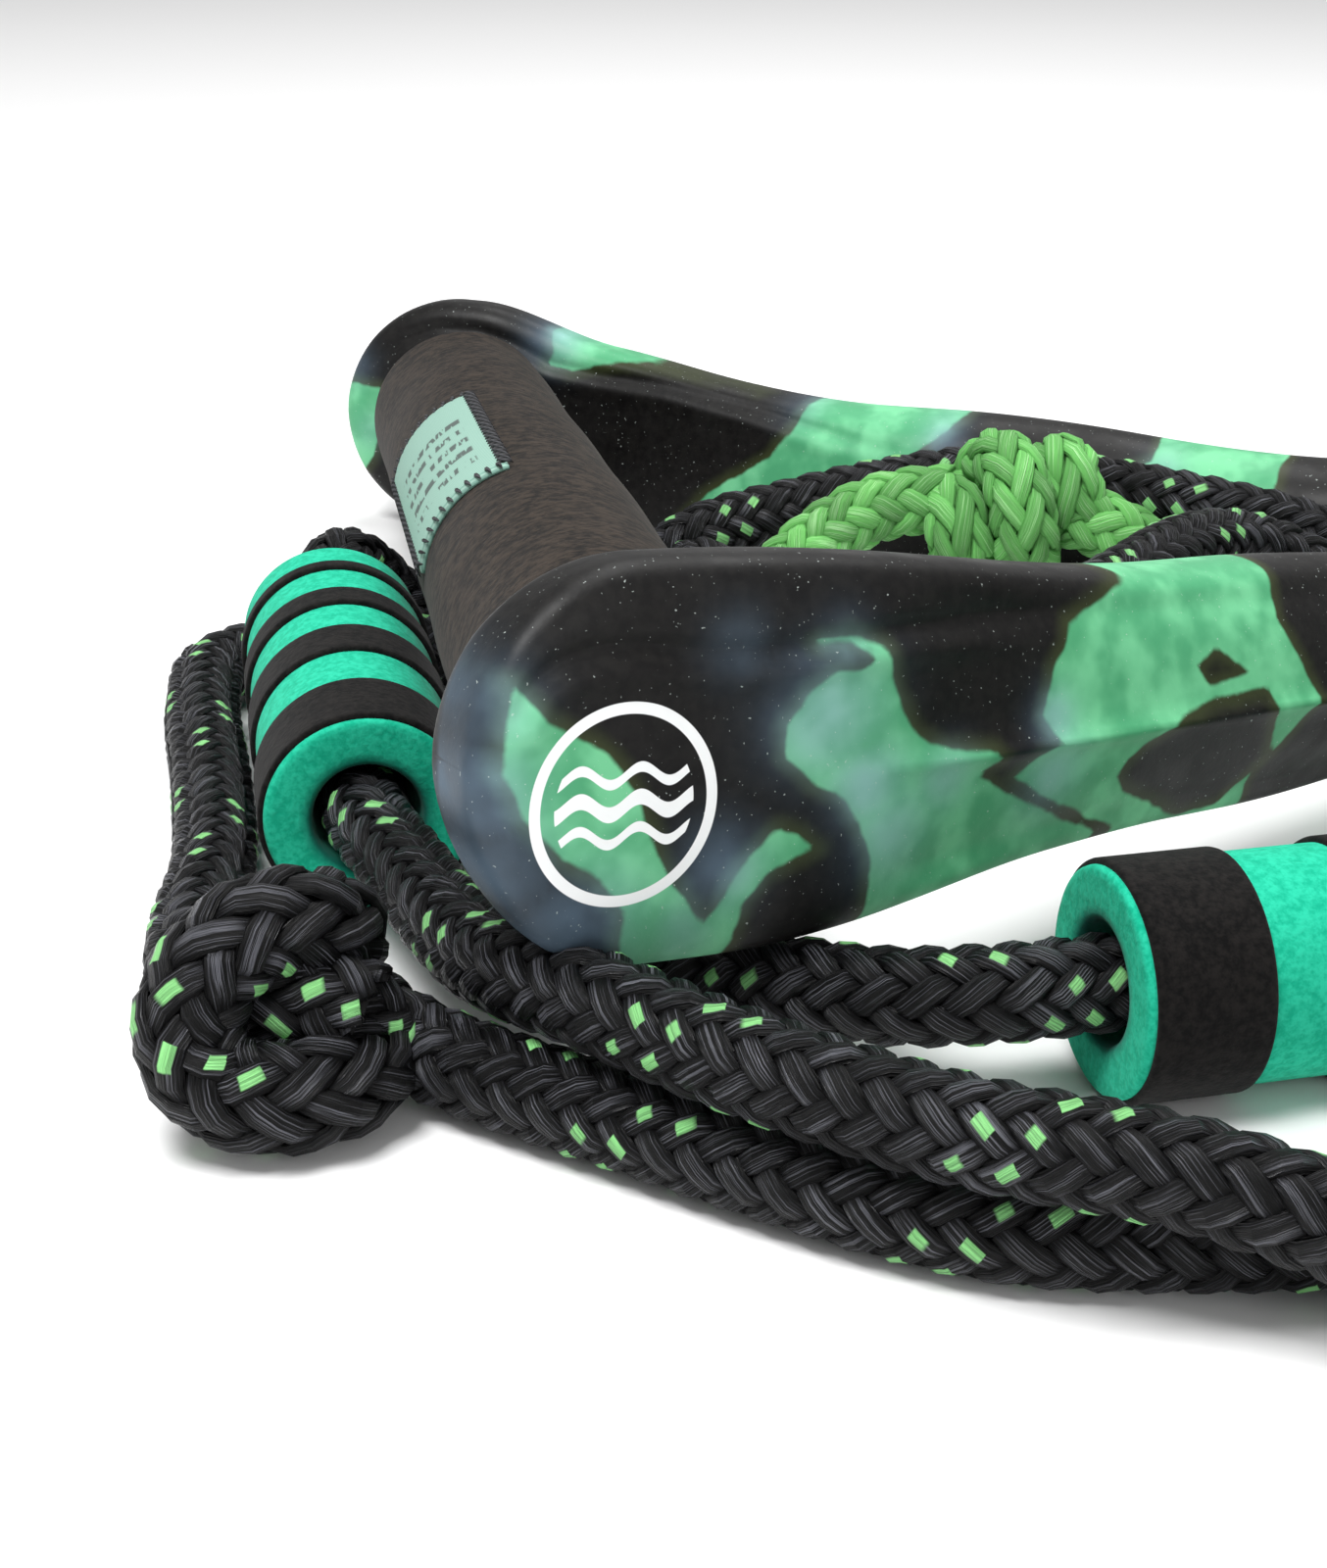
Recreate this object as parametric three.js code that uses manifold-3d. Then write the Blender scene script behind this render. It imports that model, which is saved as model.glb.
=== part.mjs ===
// Tow rope handle for wakesurfing, lying on its own rope. Millimetres, +Z up, floor at z = 0.
// A foam-covered bar joins two silicone arms that meet at a yoke. A lime lead rope is looped to the yoke and tied
// to a black main rope, which carries a climbing knot, two foam floats and an eye for the boat's end.
import * as THREE from "three";
import { mergeVertices } from "three/addons/utils/BufferGeometryUtils.js";
import Module from "manifold-3d";

const wasm = await Module();
wasm.setup();

// ---- Driving dimensions ----
// Positions are taken from a point on the floor near the middle of the bar, with the yoke towards +X. The part's
// origin is then moved to the floor below the middle of the handle.
const HANDLE_MID = new THREE.Vector3(131.55, 3.9, 0);
const GAP = 0.3;

const BAR_NEAR = new THREE.Vector3(0, -111, 42.8);
const BAR_FAR = new THREE.Vector3(0, 118, 22.7);
const TUBE_R = 11;
const TUBE_WALL = 1.5;
const TUBE_IN_ARM = 6;
const PLUG_DEPTH = 18;
const GRIP_R = 17;
const GRIP_SETBACK = 0.6;
const LABEL_FROM = 80;
const LABEL_LENGTH = 68;
const LABEL_THICK = 0.5;
const LABEL_ARC = THREE.MathUtils.degToRad(68);
const LABEL_MIDDLE = THREE.MathUtils.degToRad(-140);

const PADDLE_R = 22;
const PADDLE_HALF = 7; // half the paddle's thickness
const BLADE_HALF = 16.8; // half height where the paddle has narrowed, before the sleeve
const SLEEVE_R = 12;
const BORE_R = 4.8;

const BRIDLE_R = 4.3;
const YOKE_X = [223, 249];
const YOKE_Z = 25;
const EYE_HALF = 12.5;
const HINGE_X = 281;

const ROPE_R = 6;
const ROPE_SIDES = 8;
const ROPE_STEP = 19;
const KNOT_R = 15.5;
const SLEEVE_LENGTH = 26;

const FLOAT_R = 14.5;
const FLOAT_LENGTH = 80;
const FLOAT_BORE_R = 7.2;
const SKIN_DEPTH = 1.6;
const SKIN_BANDS = [[1.2, 14.3], [28.5, 10.5], [50, 7], [67.5, 3.2]]; // start and width along the float

const COIL_CENTRE = new THREE.Vector3(272, -150, 0);
const COIL_MID_R = 63;
const COIL_TURNS = 3;
const COIL_LAYERS = 3;
const COIL_LIFT = 1.9;
const TIE_WIDTH = 20;
const TIE_THICK = 1.4;

// ---- Materials ----
function material(color, roughness, metalness = 0) {
  return new THREE.MeshStandardMaterial({ color, roughness, metalness });
}
const ALUMINIUM = material(0xb9bcc0, 0.35, 1);
const GRIP_FOAM = material(0x2d2621, 0.95);
const LABEL = material(0xa5c8b9, 0.8);
const NYLON = material(0x1a1a1a, 0.5);
const SILICONE = material(0x3b5a4b, 0.45);
const BLACK_ROPE = material(0x17181a, 0.5);
const LIME_ROPE = material(0x7dcd73, 0.6);
const FLOAT_MINT = material(0x14be96, 0.9);
const FLOAT_BLACK = material(0x1e1c1c, 0.95);
const STRAP = material(0x141414, 0.85);

const root = new THREE.Group();
root.position.copy(HANDLE_MID).negate();

function addMesh(parent, name, geometry, look) {
  const mesh = new THREE.Mesh(geometry, look);
  mesh.name = name;
  parent.add(mesh);
  return mesh;
}

function group(parent, from, direction) {
  const made = new THREE.Group();
  made.position.copy(from);
  made.quaternion.setFromUnitVectors(new THREE.Vector3(0, 0, 1), direction.clone().normalize());
  parent.add(made);
  return made;
}

// ---- Joining and cutting ----
function solid(geometry) {
  const bare = geometry.clone();
  for (const extra of ["normal", "uv"]) bare.deleteAttribute(extra);
  const merged = mergeVertices(bare, 1e-3);
  return new wasm.Manifold(
    new wasm.Mesh({
      numProp: 3,
      vertProperties: merged.attributes.position.array,
      triVerts: new Uint32Array(merged.index.array),
    }),
  );
}

function fromSolid(made) {
  const { vertProperties, triVerts } = made.getMesh();
  const geometry = new THREE.BufferGeometry();
  geometry.setAttribute("position", new THREE.BufferAttribute(vertProperties, 3));
  geometry.setIndex(new THREE.BufferAttribute(triVerts, 1));
  geometry.computeVertexNormals();
  return geometry;
}

// ---- Cords: a round section pulled along a smooth route ----
function route(points) {
  return new THREE.CatmullRomCurve3(
    points.map(([x, y, z]) => new THREE.Vector3(x, y, z)),
    false,
    "centripetal",
  );
}

function cordTube(points, radius = ROPE_R, step = ROPE_STEP, sides = ROPE_SIDES) {
  const curve = route(points);
  const section = new THREE.Shape();
  for (let i = 0; i < sides; i++) {
    const turn = (2 * Math.PI * (i + 0.5)) / sides;
    const [x, y] = [radius * Math.cos(turn), radius * Math.sin(turn)];
    if (i === 0) section.moveTo(x, y);
    else section.lineTo(x, y);
  }
  section.closePath();
  const steps = Math.max(3, Math.round(curve.getLength() / step));
  return new THREE.ExtrudeGeometry(section, { steps, extrudePath: curve, bevelEnabled: false });
}

// A closed ring about the Z axis, with its outer corners cut by `edge`.
function ring(inner, outer, from, to, edge = 0, segments = 32) {
  const profile = [[inner, from], [outer - edge, from]];
  if (edge > 0) profile.push([outer, from + edge], [outer, to - edge]);
  profile.push([outer - edge, to], [inner, to], [inner, from]);
  const points = profile.map(([x, y]) => new THREE.Vector2(x, y));
  return new THREE.LatheGeometry(points, segments).rotateX(Math.PI / 2);
}

// ---- Bar ----
const barAxis = new THREE.Vector3().subVectors(BAR_FAR, BAR_NEAR).normalize();
const barLength = BAR_NEAR.distanceTo(BAR_FAR);
const bar = group(root, BAR_NEAR, barAxis);
const tubeEnds = [-TUBE_IN_ARM, barLength + TUBE_IN_ARM];
addMesh(bar, "bar_tube", ring(TUBE_R - TUBE_WALL, TUBE_R, ...tubeEnds, 0, 36), ALUMINIUM);
const grip = ring(TUBE_R + GAP, GRIP_R, GRIP_SETBACK, barLength - GRIP_SETBACK, 1, 36);
addMesh(bar, "grip_sleeve", grip, GRIP_FOAM);

const plugR = TUBE_R - TUBE_WALL - GAP;
const plugMiddles = {
  near_bar_plug: -TUBE_IN_ARM + PLUG_DEPTH / 2,
  far_bar_plug: barLength + TUBE_IN_ARM - PLUG_DEPTH / 2,
};
for (const [name, middle] of Object.entries(plugMiddles)) {
  const plug = new THREE.CylinderGeometry(plugR, plugR, PLUG_DEPTH, 24).rotateX(Math.PI / 2);
  addMesh(bar, name, plug, NYLON).position.z = middle;
}

// The woven label is a thin patch wrapped round part of the grip.
const labelOutline = new THREE.Shape();
const labelInner = GRIP_R + GAP;
const labelEnds = [LABEL_MIDDLE - LABEL_ARC / 2, LABEL_MIDDLE + LABEL_ARC / 2];
labelOutline.absarc(0, 0, labelInner + LABEL_THICK, ...labelEnds, false);
labelOutline.absarc(0, 0, labelInner, labelEnds[1], labelEnds[0], true);
labelOutline.closePath();
const labelLook = { depth: LABEL_LENGTH, curveSegments: 12, bevelEnabled: false };
const label = new THREE.ExtrudeGeometry(labelOutline, labelLook);
addMesh(bar, "grip_label", label, LABEL).position.z = LABEL_FROM;

// ---- Arms: a flat round-ended paddle that narrows to a round sleeve ----
const NEAR_ARM = [
  [0, -118.2, 43.4], [25, -109, 41], [50, -94.5, 37.2], [75, -79, 33.5],
  [100, -64, 30.2], [125, -50, 28], [150, -37, 27], [180, -22.5, 26], [214, -13.2, YOKE_Z],
];
const FAR_ARM = [
  [0, 125.2, 22.1], [25, 114, 21.4], [50, 98, 19.6], [75, 81.5, 18],
  [100, 67, 17.2], [125, 54, 17.2], [150, 40, 18.8], [180, 24, 22], [214, 13.2, YOKE_Z],
];
const paddleUp = new THREE.Vector3(0, -barAxis.z, barAxis.y);
const TAIL_SHARES = [0.98, 0.93, 0.82, 0.66, 0.45, 0.22];
const ARM_STEPS = 22;
const ARM_SIDES = 24;
const SLAB_POWER = 0.55; // 1 gives an oval section, less gives a slab with round edges

// Half height and half thickness of an arm's section at a distance from the bar's axis along the arm.
function armSection(along) {
  const narrowing = THREE.MathUtils.smoothstep(along, 5, 85);
  const tapering = THREE.MathUtils.smoothstep(along, 95, 175);
  const rounding = THREE.MathUtils.smoothstep(along, 15, 110);
  const blade = THREE.MathUtils.lerp(PADDLE_R, BLADE_HALF, narrowing);
  const height = THREE.MathUtils.lerp(blade, SLEEVE_R, tapering);
  const half = THREE.MathUtils.lerp(PADDLE_HALF, SLEEVE_R, rounding);
  if (along >= 0) return [height, half];
  const round = Math.sqrt(1 - (along / PADDLE_R) ** 2);
  return [height * round, half * Math.min(1, 0.55 + 0.8 * round)];
}

function armGeometry(points) {
  const curve = route(points);
  const length = curve.getLength();
  const stations = TAIL_SHARES.map((share) => -PADDLE_R * share);
  for (let i = 0; i <= ARM_STEPS; i++) stations.push((length * i) / ARM_STEPS);
  const last = stations.length - 1;
  const geometry = new THREE.CylinderGeometry(1, 1, 1, ARM_SIDES, last);
  const place = geometry.attributes.position;
  for (let i = 0; i < place.count; i++) {
    const along = stations[Math.round((place.getY(i) + 0.5) * last)];
    const share = THREE.MathUtils.clamp(along / length, 0, 1);
    const tangent = curve.getTangentAt(share);
    const spot = curve.getPointAt(share).addScaledVector(tangent, Math.min(0, along));
    const side = new THREE.Vector3().crossVectors(paddleUp, tangent).normalize();
    const up = new THREE.Vector3().crossVectors(tangent, side);
    const [height, half] = armSection(along);
    const power = THREE.MathUtils.lerp(SLAB_POWER, 1, THREE.MathUtils.smoothstep(along, 30, 130));
    const squared = (value) => Math.sign(value) * Math.abs(value) ** power;
    spot.addScaledVector(side, half * squared(place.getZ(i)));
    spot.addScaledVector(up, height * squared(place.getX(i)));
    place.setXYZ(i, spot.x, spot.y, spot.z);
  }
  return geometry;
}

// The bridle rope leaves one sleeve, passes through the yoke, turns round the eye and goes back to the other.
const BRIDLE_HALF = [
  [194, 18], [206, 14.8], [216, 12.4], [224, 9.6], [236, 7], [247, 6.6],
  [256, 9.6], [265, EYE_HALF], [274, 10.6], [279.6, 5.6],
];
const bridle = [
  ...BRIDLE_HALF.map(([x, y]) => [x, -y, YOKE_Z]),
  [HINGE_X, 0, YOKE_Z],
  ...BRIDLE_HALF.toReversed().map(([x, y]) => [x, y, YOKE_Z]),
];
const bridleStep = 6;
const bridleBore = solid(cordTube(bridle, BORE_R + 0.2, bridleStep, 10));

function socket(end, outward) {
  const made = new THREE.CylinderGeometry(TUBE_R + GAP, TUBE_R + GAP, 40, 36);
  const turn = new THREE.Quaternion().setFromUnitVectors(new THREE.Vector3(0, 1, 0), outward);
  const middle = end.clone().addScaledVector(outward, TUBE_IN_ARM + GAP - 20);
  return solid(made.applyQuaternion(turn).translate(...middle.toArray()));
}

// Clears the arm's inner face off the end of the grip.
function gripRoom(end, outward) {
  const made = new THREE.CylinderGeometry(GRIP_R + 1, GRIP_R + 1, 40, 36);
  const turn = new THREE.Quaternion().setFromUnitVectors(new THREE.Vector3(0, 1, 0), outward);
  const middle = end.clone().addScaledVector(outward, -20 - GRIP_SETBACK + GAP);
  return solid(made.applyQuaternion(turn).translate(...middle.toArray()));
}

const arms = {
  near_arm: [NEAR_ARM, BAR_NEAR, barAxis.clone().negate()],
  far_arm: [FAR_ARM, BAR_FAR, barAxis],
};
for (const [name, [points, end, outward]] of Object.entries(arms)) {
  const cut = socket(end, outward).add(gripRoom(end, outward));
  addMesh(root, name, fromSolid(solid(armGeometry(points)).subtract(cut).subtract(bridleBore)), SILICONE);
}
addMesh(root, "bridle_rope", cordTube(bridle, BRIDLE_R, bridleStep), BLACK_ROPE);

// The yoke is a moulded sleeve of stadium section that clamps the bridle's two legs.
function stadium(halfWidth, radius) {
  const outline = new THREE.Shape();
  outline.absarc(halfWidth, 0, radius, -Math.PI / 2, Math.PI / 2, false);
  outline.absarc(-halfWidth, 0, radius, Math.PI / 2, (3 * Math.PI) / 2, false);
  outline.closePath();
  return outline;
}
const yokeBlank = new THREE.ExtrudeGeometry(stadium(9, SLEEVE_R - 1), {
  depth: YOKE_X[1] - YOKE_X[0],
  curveSegments: 12,
  bevelEnabled: false,
});
yokeBlank.applyMatrix4(
  new THREE.Matrix4().makeBasis(
    new THREE.Vector3(0, 1, 0),
    new THREE.Vector3(0, 0, 1),
    new THREE.Vector3(1, 0, 0),
  ),
);
yokeBlank.translate(YOKE_X[0], 0, YOKE_Z);
addMesh(root, "yoke_sleeve", fromSolid(solid(yokeBlank).subtract(bridleBore)), SILICONE);

// ---- Lead and main ropes ----
const LIME_FROM_EYE = [
  [338.8, 0, 24.6], [346, -0.5, 22.8], [354, -4, 16], [366, -14, 9], [370, -27, 6.3], [363, -42, 6.3], [345, -50, 6.3],
  [320, -50, 6.3], [285, -47, 6.3], [250, -39, 6.3], [225, -26, 6.3], [205, -13, 6.3], [190, -5, 6.3], [172, 0, 6.3],
  [155, 8, 6.3], [140, 16, 7], [126, 24, 12], [112, 27.5, 18], [101.8, 31, 23.2],
];
const LIME_TO_JOIN = [[70.2, 35.5, 27.3], [62, 36, 25.5], [53, 34, 21], [46.8, 30.5, 17]];
const BLACK_TO_KNOT = [
  [17, 25.5, 8.5], [8, 26, 6.3], [-6, 26.5, 6.3], [-22, 29.2, 6.3], [-37, 29.5, 6.3], [-47.5, 21.5, 6.3], [-49.5, 4, 6.3],
  [-48, -30, 6.3], [-47.6, -60, 6.3], [-50, -80, 6.3], [-50, -92, 7], [-47.5, -102.5, 9.5],
];
const BLACK_KNOT_TO_FLOAT = [
  [-24.8, -116.6, 6.3], [-16.5, -123.5, 6.3], [-2.5, -136, 6.3], [11.5, -148.5, 6.3], [22, -157, 6.3], [34, -164, 6.3],
  [53, -168, 6.3], [90, -170, 6.3], [130, -169, 6.3], [155, -165, 6.3], [171, -151, 6.5], [174, -134, 9],
  [164, -118.5, 12], [147, -113.6, 14.5], [134, -115.2, 14.5], [94, -120.1, 14.5], [54.5, -125, 14.5],
  [41, -126, 14.3], [30, -122.5, 13], [18, -113, 11], [6, -102, 8], [1, -86, 6.3], [15, -68, 6.3], [40, -50, 8],
  [62, -37, 17], [80, -23, 25], [94, -8, 26], [108, 7, 26], [121, 15, 24], [133, 12, 19], [139, 0, 13],
  [139, -16, 8], [137, -32, 6.3], [136, -50, 6.3], [140, -66, 6.3], [151, -79, 6.3], [168, -86, 6.3], [190, -88, 6.3],
  [213, -84.5, 6.3],
];
const BLACK_COIL_TO_EYE = [
  [199.5, -103.5, 30], [191, -88, 25], [181, -68, 14], [172, -50, 6.5], [166, -36, 6.3], [160, -18, 7.2],
  [156, -5, 13.2], [151, 6, 19.2], [143, 20, 20.5], [132, 31, 22.5], [119, 37, 24.5], [104, 44.5, 26],
  [86, 54, 25.7], [68, 53.5, 24], [51, 52, 21], [36, 49, 18.2], [24, 44.5, 12], [12, 40.5, 6.8], [0, 40, 6.3],
  [-11, 40.5, 6.3], [-18, 41, 11.5], [-23.5, 38, 17.8], [-27.5, 31, 20.5], [-29, 23.5, 17], [-29, 18.5, 14.9],
  [-29, 14.5, 14.5], [-28, -25, 14.5], [-27, -65, 14.5], [-25.5, -72, 14.3], [-23, -80, 13.8],
  [-20, -93, 13.6], [-16.5, -107, 14.5], [-12, -119, 16.6], [-8, -125.5, 17.7], [-4, -132, 18.5],
  [4, -142, 18.5], [14, -152.5, 18.5], [29, -165, 18.4], [48, -175.5, 18.2], [62, -182, 15], [78, -188, 9],
  [100, -193.5, 6.3], [121.6, -198, 6.3],
];
addMesh(root, "lime_lead_rope", cordTube(LIME_FROM_EYE), LIME_ROPE);
addMesh(root, "lime_lead_end", cordTube(LIME_TO_JOIN), LIME_ROPE);
addMesh(root, "black_rope_behind_knot", cordTube(BLACK_TO_KNOT), BLACK_ROPE);
addMesh(root, "black_rope_mid", cordTube(BLACK_KNOT_TO_FLOAT), BLACK_ROPE);
addMesh(root, "black_rope_tow", cordTube(BLACK_COIL_TO_EYE), BLACK_ROPE);

const knots = {
  lime_knot: [[86, 33.5, 26], [13.5, 12, 13.5], LIME_ROPE],
  black_knot: [[-42.5, -120, KNOT_R], [KNOT_R, KNOT_R, KNOT_R], BLACK_ROPE],
  join_knot: [[32, 25, 12.2], [14.5, 11, 12], BLACK_ROPE],
};
for (const [name, [centre, halves, look]] of Object.entries(knots)) {
  const ball = new THREE.IcosahedronGeometry(1, 3).scale(...halves);
  addMesh(root, name, ball, look).position.set(...centre);
}

// The lime rope's end is a loop standing on edge round the bridle's eye, closed by a stitched sleeve.
const LIME_EYE = [
  [309.2, 0, 31.2], [303, 0, 31.8], [292, 0, 35], [281, 0, 37], [272.6, 0, 33.6], [269, 0, 25],
  [272.6, 0, 16.4], [281, 0, 13], [292, 0, 14.6], [303, 0, 17.8], [309.2, 0, 18.4],
];
addMesh(root, "lime_eye", cordTube(LIME_EYE, ROPE_R, 9), LIME_ROPE);
const limeSleeve = new THREE.ExtrudeGeometry(stadium(6.5, 7.2), {
  depth: SLEEVE_LENGTH,
  curveSegments: 8,
  bevelEnabled: false,
});
limeSleeve.applyMatrix4(
  new THREE.Matrix4().makeBasis(
    new THREE.Vector3(0, 0, 1),
    new THREE.Vector3(0, -1, 0),
    new THREE.Vector3(1, 0, 0),
  ),
);
addMesh(root, "lime_eye_sleeve", limeSleeve, LIME_ROPE).position.set(310.8, 0, 24.8);

// The boat's end is a flat eye with a sleeve of its own.
const TOW_END = new THREE.Vector3(122.4, -197.6, 7.5);
const TOW_HEADING = new THREE.Vector3(0.972, -0.235, 0);
const tow = new THREE.Group();
tow.position.copy(TOW_END);
tow.quaternion.setFromUnitVectors(new THREE.Vector3(1, 0, 0), TOW_HEADING);
root.add(tow);
const TOW_LOOP = [
  [27.6, 6.5], [33, 7.5], [41, 13], [51, 19], [64, 19], [74, 11], [77, 0], [74, -11], [64, -19], [51, -19],
  [41, -13], [33, -7.5], [27.6, -6.5],
];
const towSleeve = new THREE.ExtrudeGeometry(stadium(6.5, 7.2), {
  depth: SLEEVE_LENGTH,
  curveSegments: 8,
  bevelEnabled: false,
});
towSleeve.applyMatrix4(
  new THREE.Matrix4().makeBasis(
    new THREE.Vector3(0, 1, 0),
    new THREE.Vector3(0, 0, 1),
    new THREE.Vector3(1, 0, 0),
  ),
);
addMesh(tow, "tow_eye_sleeve", towSleeve, STRAP);
addMesh(tow, "tow_eye", cordTube(TOW_LOOP.map(([x, y]) => [x, y, -1.4]), ROPE_R, 12), BLACK_ROPE);

// ---- Coil of spare rope with a strap round it ----
const coilHalf = (COIL_TURNS * ROPE_R * 2 + 0.4) / 2;
const coilHeight = COIL_LAYERS * ROPE_R * 2;
const coil = group(root, COIL_CENTRE, new THREE.Vector3(0, 0, 1));
const coilFrom = COIL_LIFT;
const coilTo = COIL_LIFT + coilHeight;
const coilRing = ring(COIL_MID_R - coilHalf, COIL_MID_R + coilHalf, coilFrom, coilTo, 3, 40);
addMesh(coil, "rope_coil", coilRing, BLACK_ROPE);

const tieHalf = coilHalf + 1.3;
const tieOutline = new THREE.Shape();
const tieOut = tieHalf + TIE_THICK;
const tieTop = coilTo + GAP + TIE_THICK;
const tieBottom = COIL_LIFT - GAP - TIE_THICK;
tieOutline.moveTo(-tieOut, tieBottom);
tieOutline.lineTo(tieOut, tieBottom);
tieOutline.lineTo(tieOut, tieTop);
tieOutline.lineTo(-tieOut, tieTop);
tieOutline.closePath();
const tieHole = new THREE.Path();
tieHole.moveTo(-tieHalf, COIL_LIFT - GAP);
tieHole.lineTo(-tieHalf, coilTo + GAP);
tieHole.lineTo(tieHalf, coilTo + GAP);
tieHole.lineTo(tieHalf, COIL_LIFT - GAP);
tieHole.closePath();
tieOutline.holes.push(tieHole);
const tie = new THREE.ExtrudeGeometry(tieOutline, { depth: TIE_WIDTH, bevelEnabled: false });
tie.translate(0, 0, -TIE_WIDTH / 2).rotateX(Math.PI / 2);
addMesh(coil, "coil_tie", tie, STRAP).position.x = COIL_MID_R - 0.2;

// ---- Floats: a mint foam core under black skin bands ----
function addFloat(prefix, from, towards) {
  const made = group(root, from, new THREE.Vector3().subVectors(towards, from));
  const coreR = FLOAT_R - SKIN_DEPTH;
  addMesh(made, prefix + "_core", ring(FLOAT_BORE_R, coreR - GAP, 0, FLOAT_LENGTH, 1, 28), FLOAT_MINT);
  SKIN_BANDS.forEach(([start, width], i) => {
    const band = ring(coreR, FLOAT_R, start, start + width, 0.6, 28);
    addMesh(made, prefix + "_band_" + (i + 1), band, FLOAT_BLACK);
  });
}
addFloat("left_float", new THREE.Vector3(-27, -65, 14.5), new THREE.Vector3(-29, 14.5, 14.5));
addFloat("right_float", new THREE.Vector3(54.5, -125, 14.5), new THREE.Vector3(134, -115.2, 14.5));

export default root;
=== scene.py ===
import math

import bpy
import numpy as np
from mathutils import Matrix, Vector
from mathutils.noise import fractal


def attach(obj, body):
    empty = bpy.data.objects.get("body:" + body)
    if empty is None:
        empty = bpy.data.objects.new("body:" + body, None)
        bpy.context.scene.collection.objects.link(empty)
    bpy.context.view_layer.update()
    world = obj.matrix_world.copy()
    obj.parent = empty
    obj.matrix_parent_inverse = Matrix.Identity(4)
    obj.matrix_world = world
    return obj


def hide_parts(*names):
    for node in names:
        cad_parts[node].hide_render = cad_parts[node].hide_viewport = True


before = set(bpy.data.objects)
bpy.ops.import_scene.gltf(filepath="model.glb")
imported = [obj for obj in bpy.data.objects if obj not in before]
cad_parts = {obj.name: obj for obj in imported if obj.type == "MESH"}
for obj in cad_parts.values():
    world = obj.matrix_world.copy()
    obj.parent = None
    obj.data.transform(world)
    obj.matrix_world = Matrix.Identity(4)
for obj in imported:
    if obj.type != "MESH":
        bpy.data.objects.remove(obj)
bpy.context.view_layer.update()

# ---- Shared numbers. Routes are in millimetres from the bar's foot, as in the CAD; MID moves them. ----
MM = 0.001
MID = np.array([131.55, 3.9, 0.0])
X, Y, UP = np.eye(3)


def metres(points):
    return (np.asarray(points, float) - MID) * MM


# ---- Camera, at the photograph's angle ----
CAMERA_PLACE = (-39.0, -401.8, 151.5)
CAMERA_FORWARD = np.array([0.1401, 0.9202, -0.3656])
CAMERA_RIGHT = np.array([0.9893, -0.1455, 0.0127])


def add_camera():
    forward = CAMERA_FORWARD / np.linalg.norm(CAMERA_FORWARD)
    right = CAMERA_RIGHT - forward * (CAMERA_RIGHT @ forward)
    right /= np.linalg.norm(right)
    up = np.cross(right, forward)
    data = bpy.data.cameras.new("camera")
    data.lens = 63.0
    data.clip_start = 0.01
    camera = bpy.data.objects.new("camera", data)
    turn = Matrix(np.column_stack([right, up, -forward]).tolist()).to_4x4()
    camera.matrix_world = Matrix.Translation(metres(CAMERA_PLACE)) @ turn
    bpy.context.scene.collection.objects.link(camera)
    bpy.context.scene.camera = camera


add_camera()


# ---- Routes ----
def smooth_route(points, spacing=0.8):
    """A centripetal Catmull-Rom line through the points, resampled evenly, all in millimetres."""
    p = np.asarray(points, float)
    p = np.vstack([2 * p[0] - p[1], p, 2 * p[-1] - p[-2]])
    line = []
    for a, b, c, d in zip(p[:-3], p[1:-2], p[2:-1], p[3:]):
        ta = 0.0
        tb = ta + np.linalg.norm(b - a) ** 0.5
        tc = tb + np.linalg.norm(c - b) ** 0.5
        td = tc + np.linalg.norm(d - c) ** 0.5
        t = np.linspace(tb, tc, 24, endpoint=False)[:, None]
        ab = (tb - t) / (tb - ta) * a + (t - ta) / (tb - ta) * b
        bc = (tc - t) / (tc - tb) * b + (t - tb) / (tc - tb) * c
        cd = (td - t) / (td - tc) * c + (t - tc) / (td - tc) * d
        abc = (tc - t) / (tc - ta) * ab + (t - ta) / (tc - ta) * bc
        bcd = (td - t) / (td - tb) * bc + (t - tb) / (td - tb) * cd
        line.append((tc - t) / (tc - tb) * abc + (t - tb) / (tc - tb) * bcd)
    line = np.vstack(line + [p[-2][None]])
    return resample(line, spacing)


def arc(line):
    return np.concatenate([[0], np.cumsum(np.linalg.norm(np.diff(line, axis=0), axis=1))])


def resample(line, spacing):
    s = arc(line)
    n = max(2, int(round(s[-1] / spacing)) + 1)
    even = np.linspace(0, s[-1], n)
    return np.stack([np.interp(even, s, line[:, k]) for k in range(3)], 1)


def unit(v):
    return v / np.maximum(np.linalg.norm(v, axis=-1, keepdims=True), 1e-9)


def frames(line):
    """Tangents, and two side vectors carried along the line without twisting."""
    t = unit(np.gradient(line, axis=0))
    start = UP if abs(t[0] @ UP) < 0.9 else np.array([1.0, 0, 0])
    n = np.empty_like(t)
    n[0] = unit(start - t[0] * (start @ t[0]))
    for i in range(1, len(t)):
        side = n[i - 1] - t[i] * (n[i - 1] @ t[i])
        n[i] = side / np.linalg.norm(side)
    return t, n, np.cross(t, n)


def smoothstep(x, low, high):
    t = np.clip((x - low) / (high - low), 0, 1)
    return t * t * (3 - 2 * t)


def blend_to(a, b, share):
    return a + (b - a) * share


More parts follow.
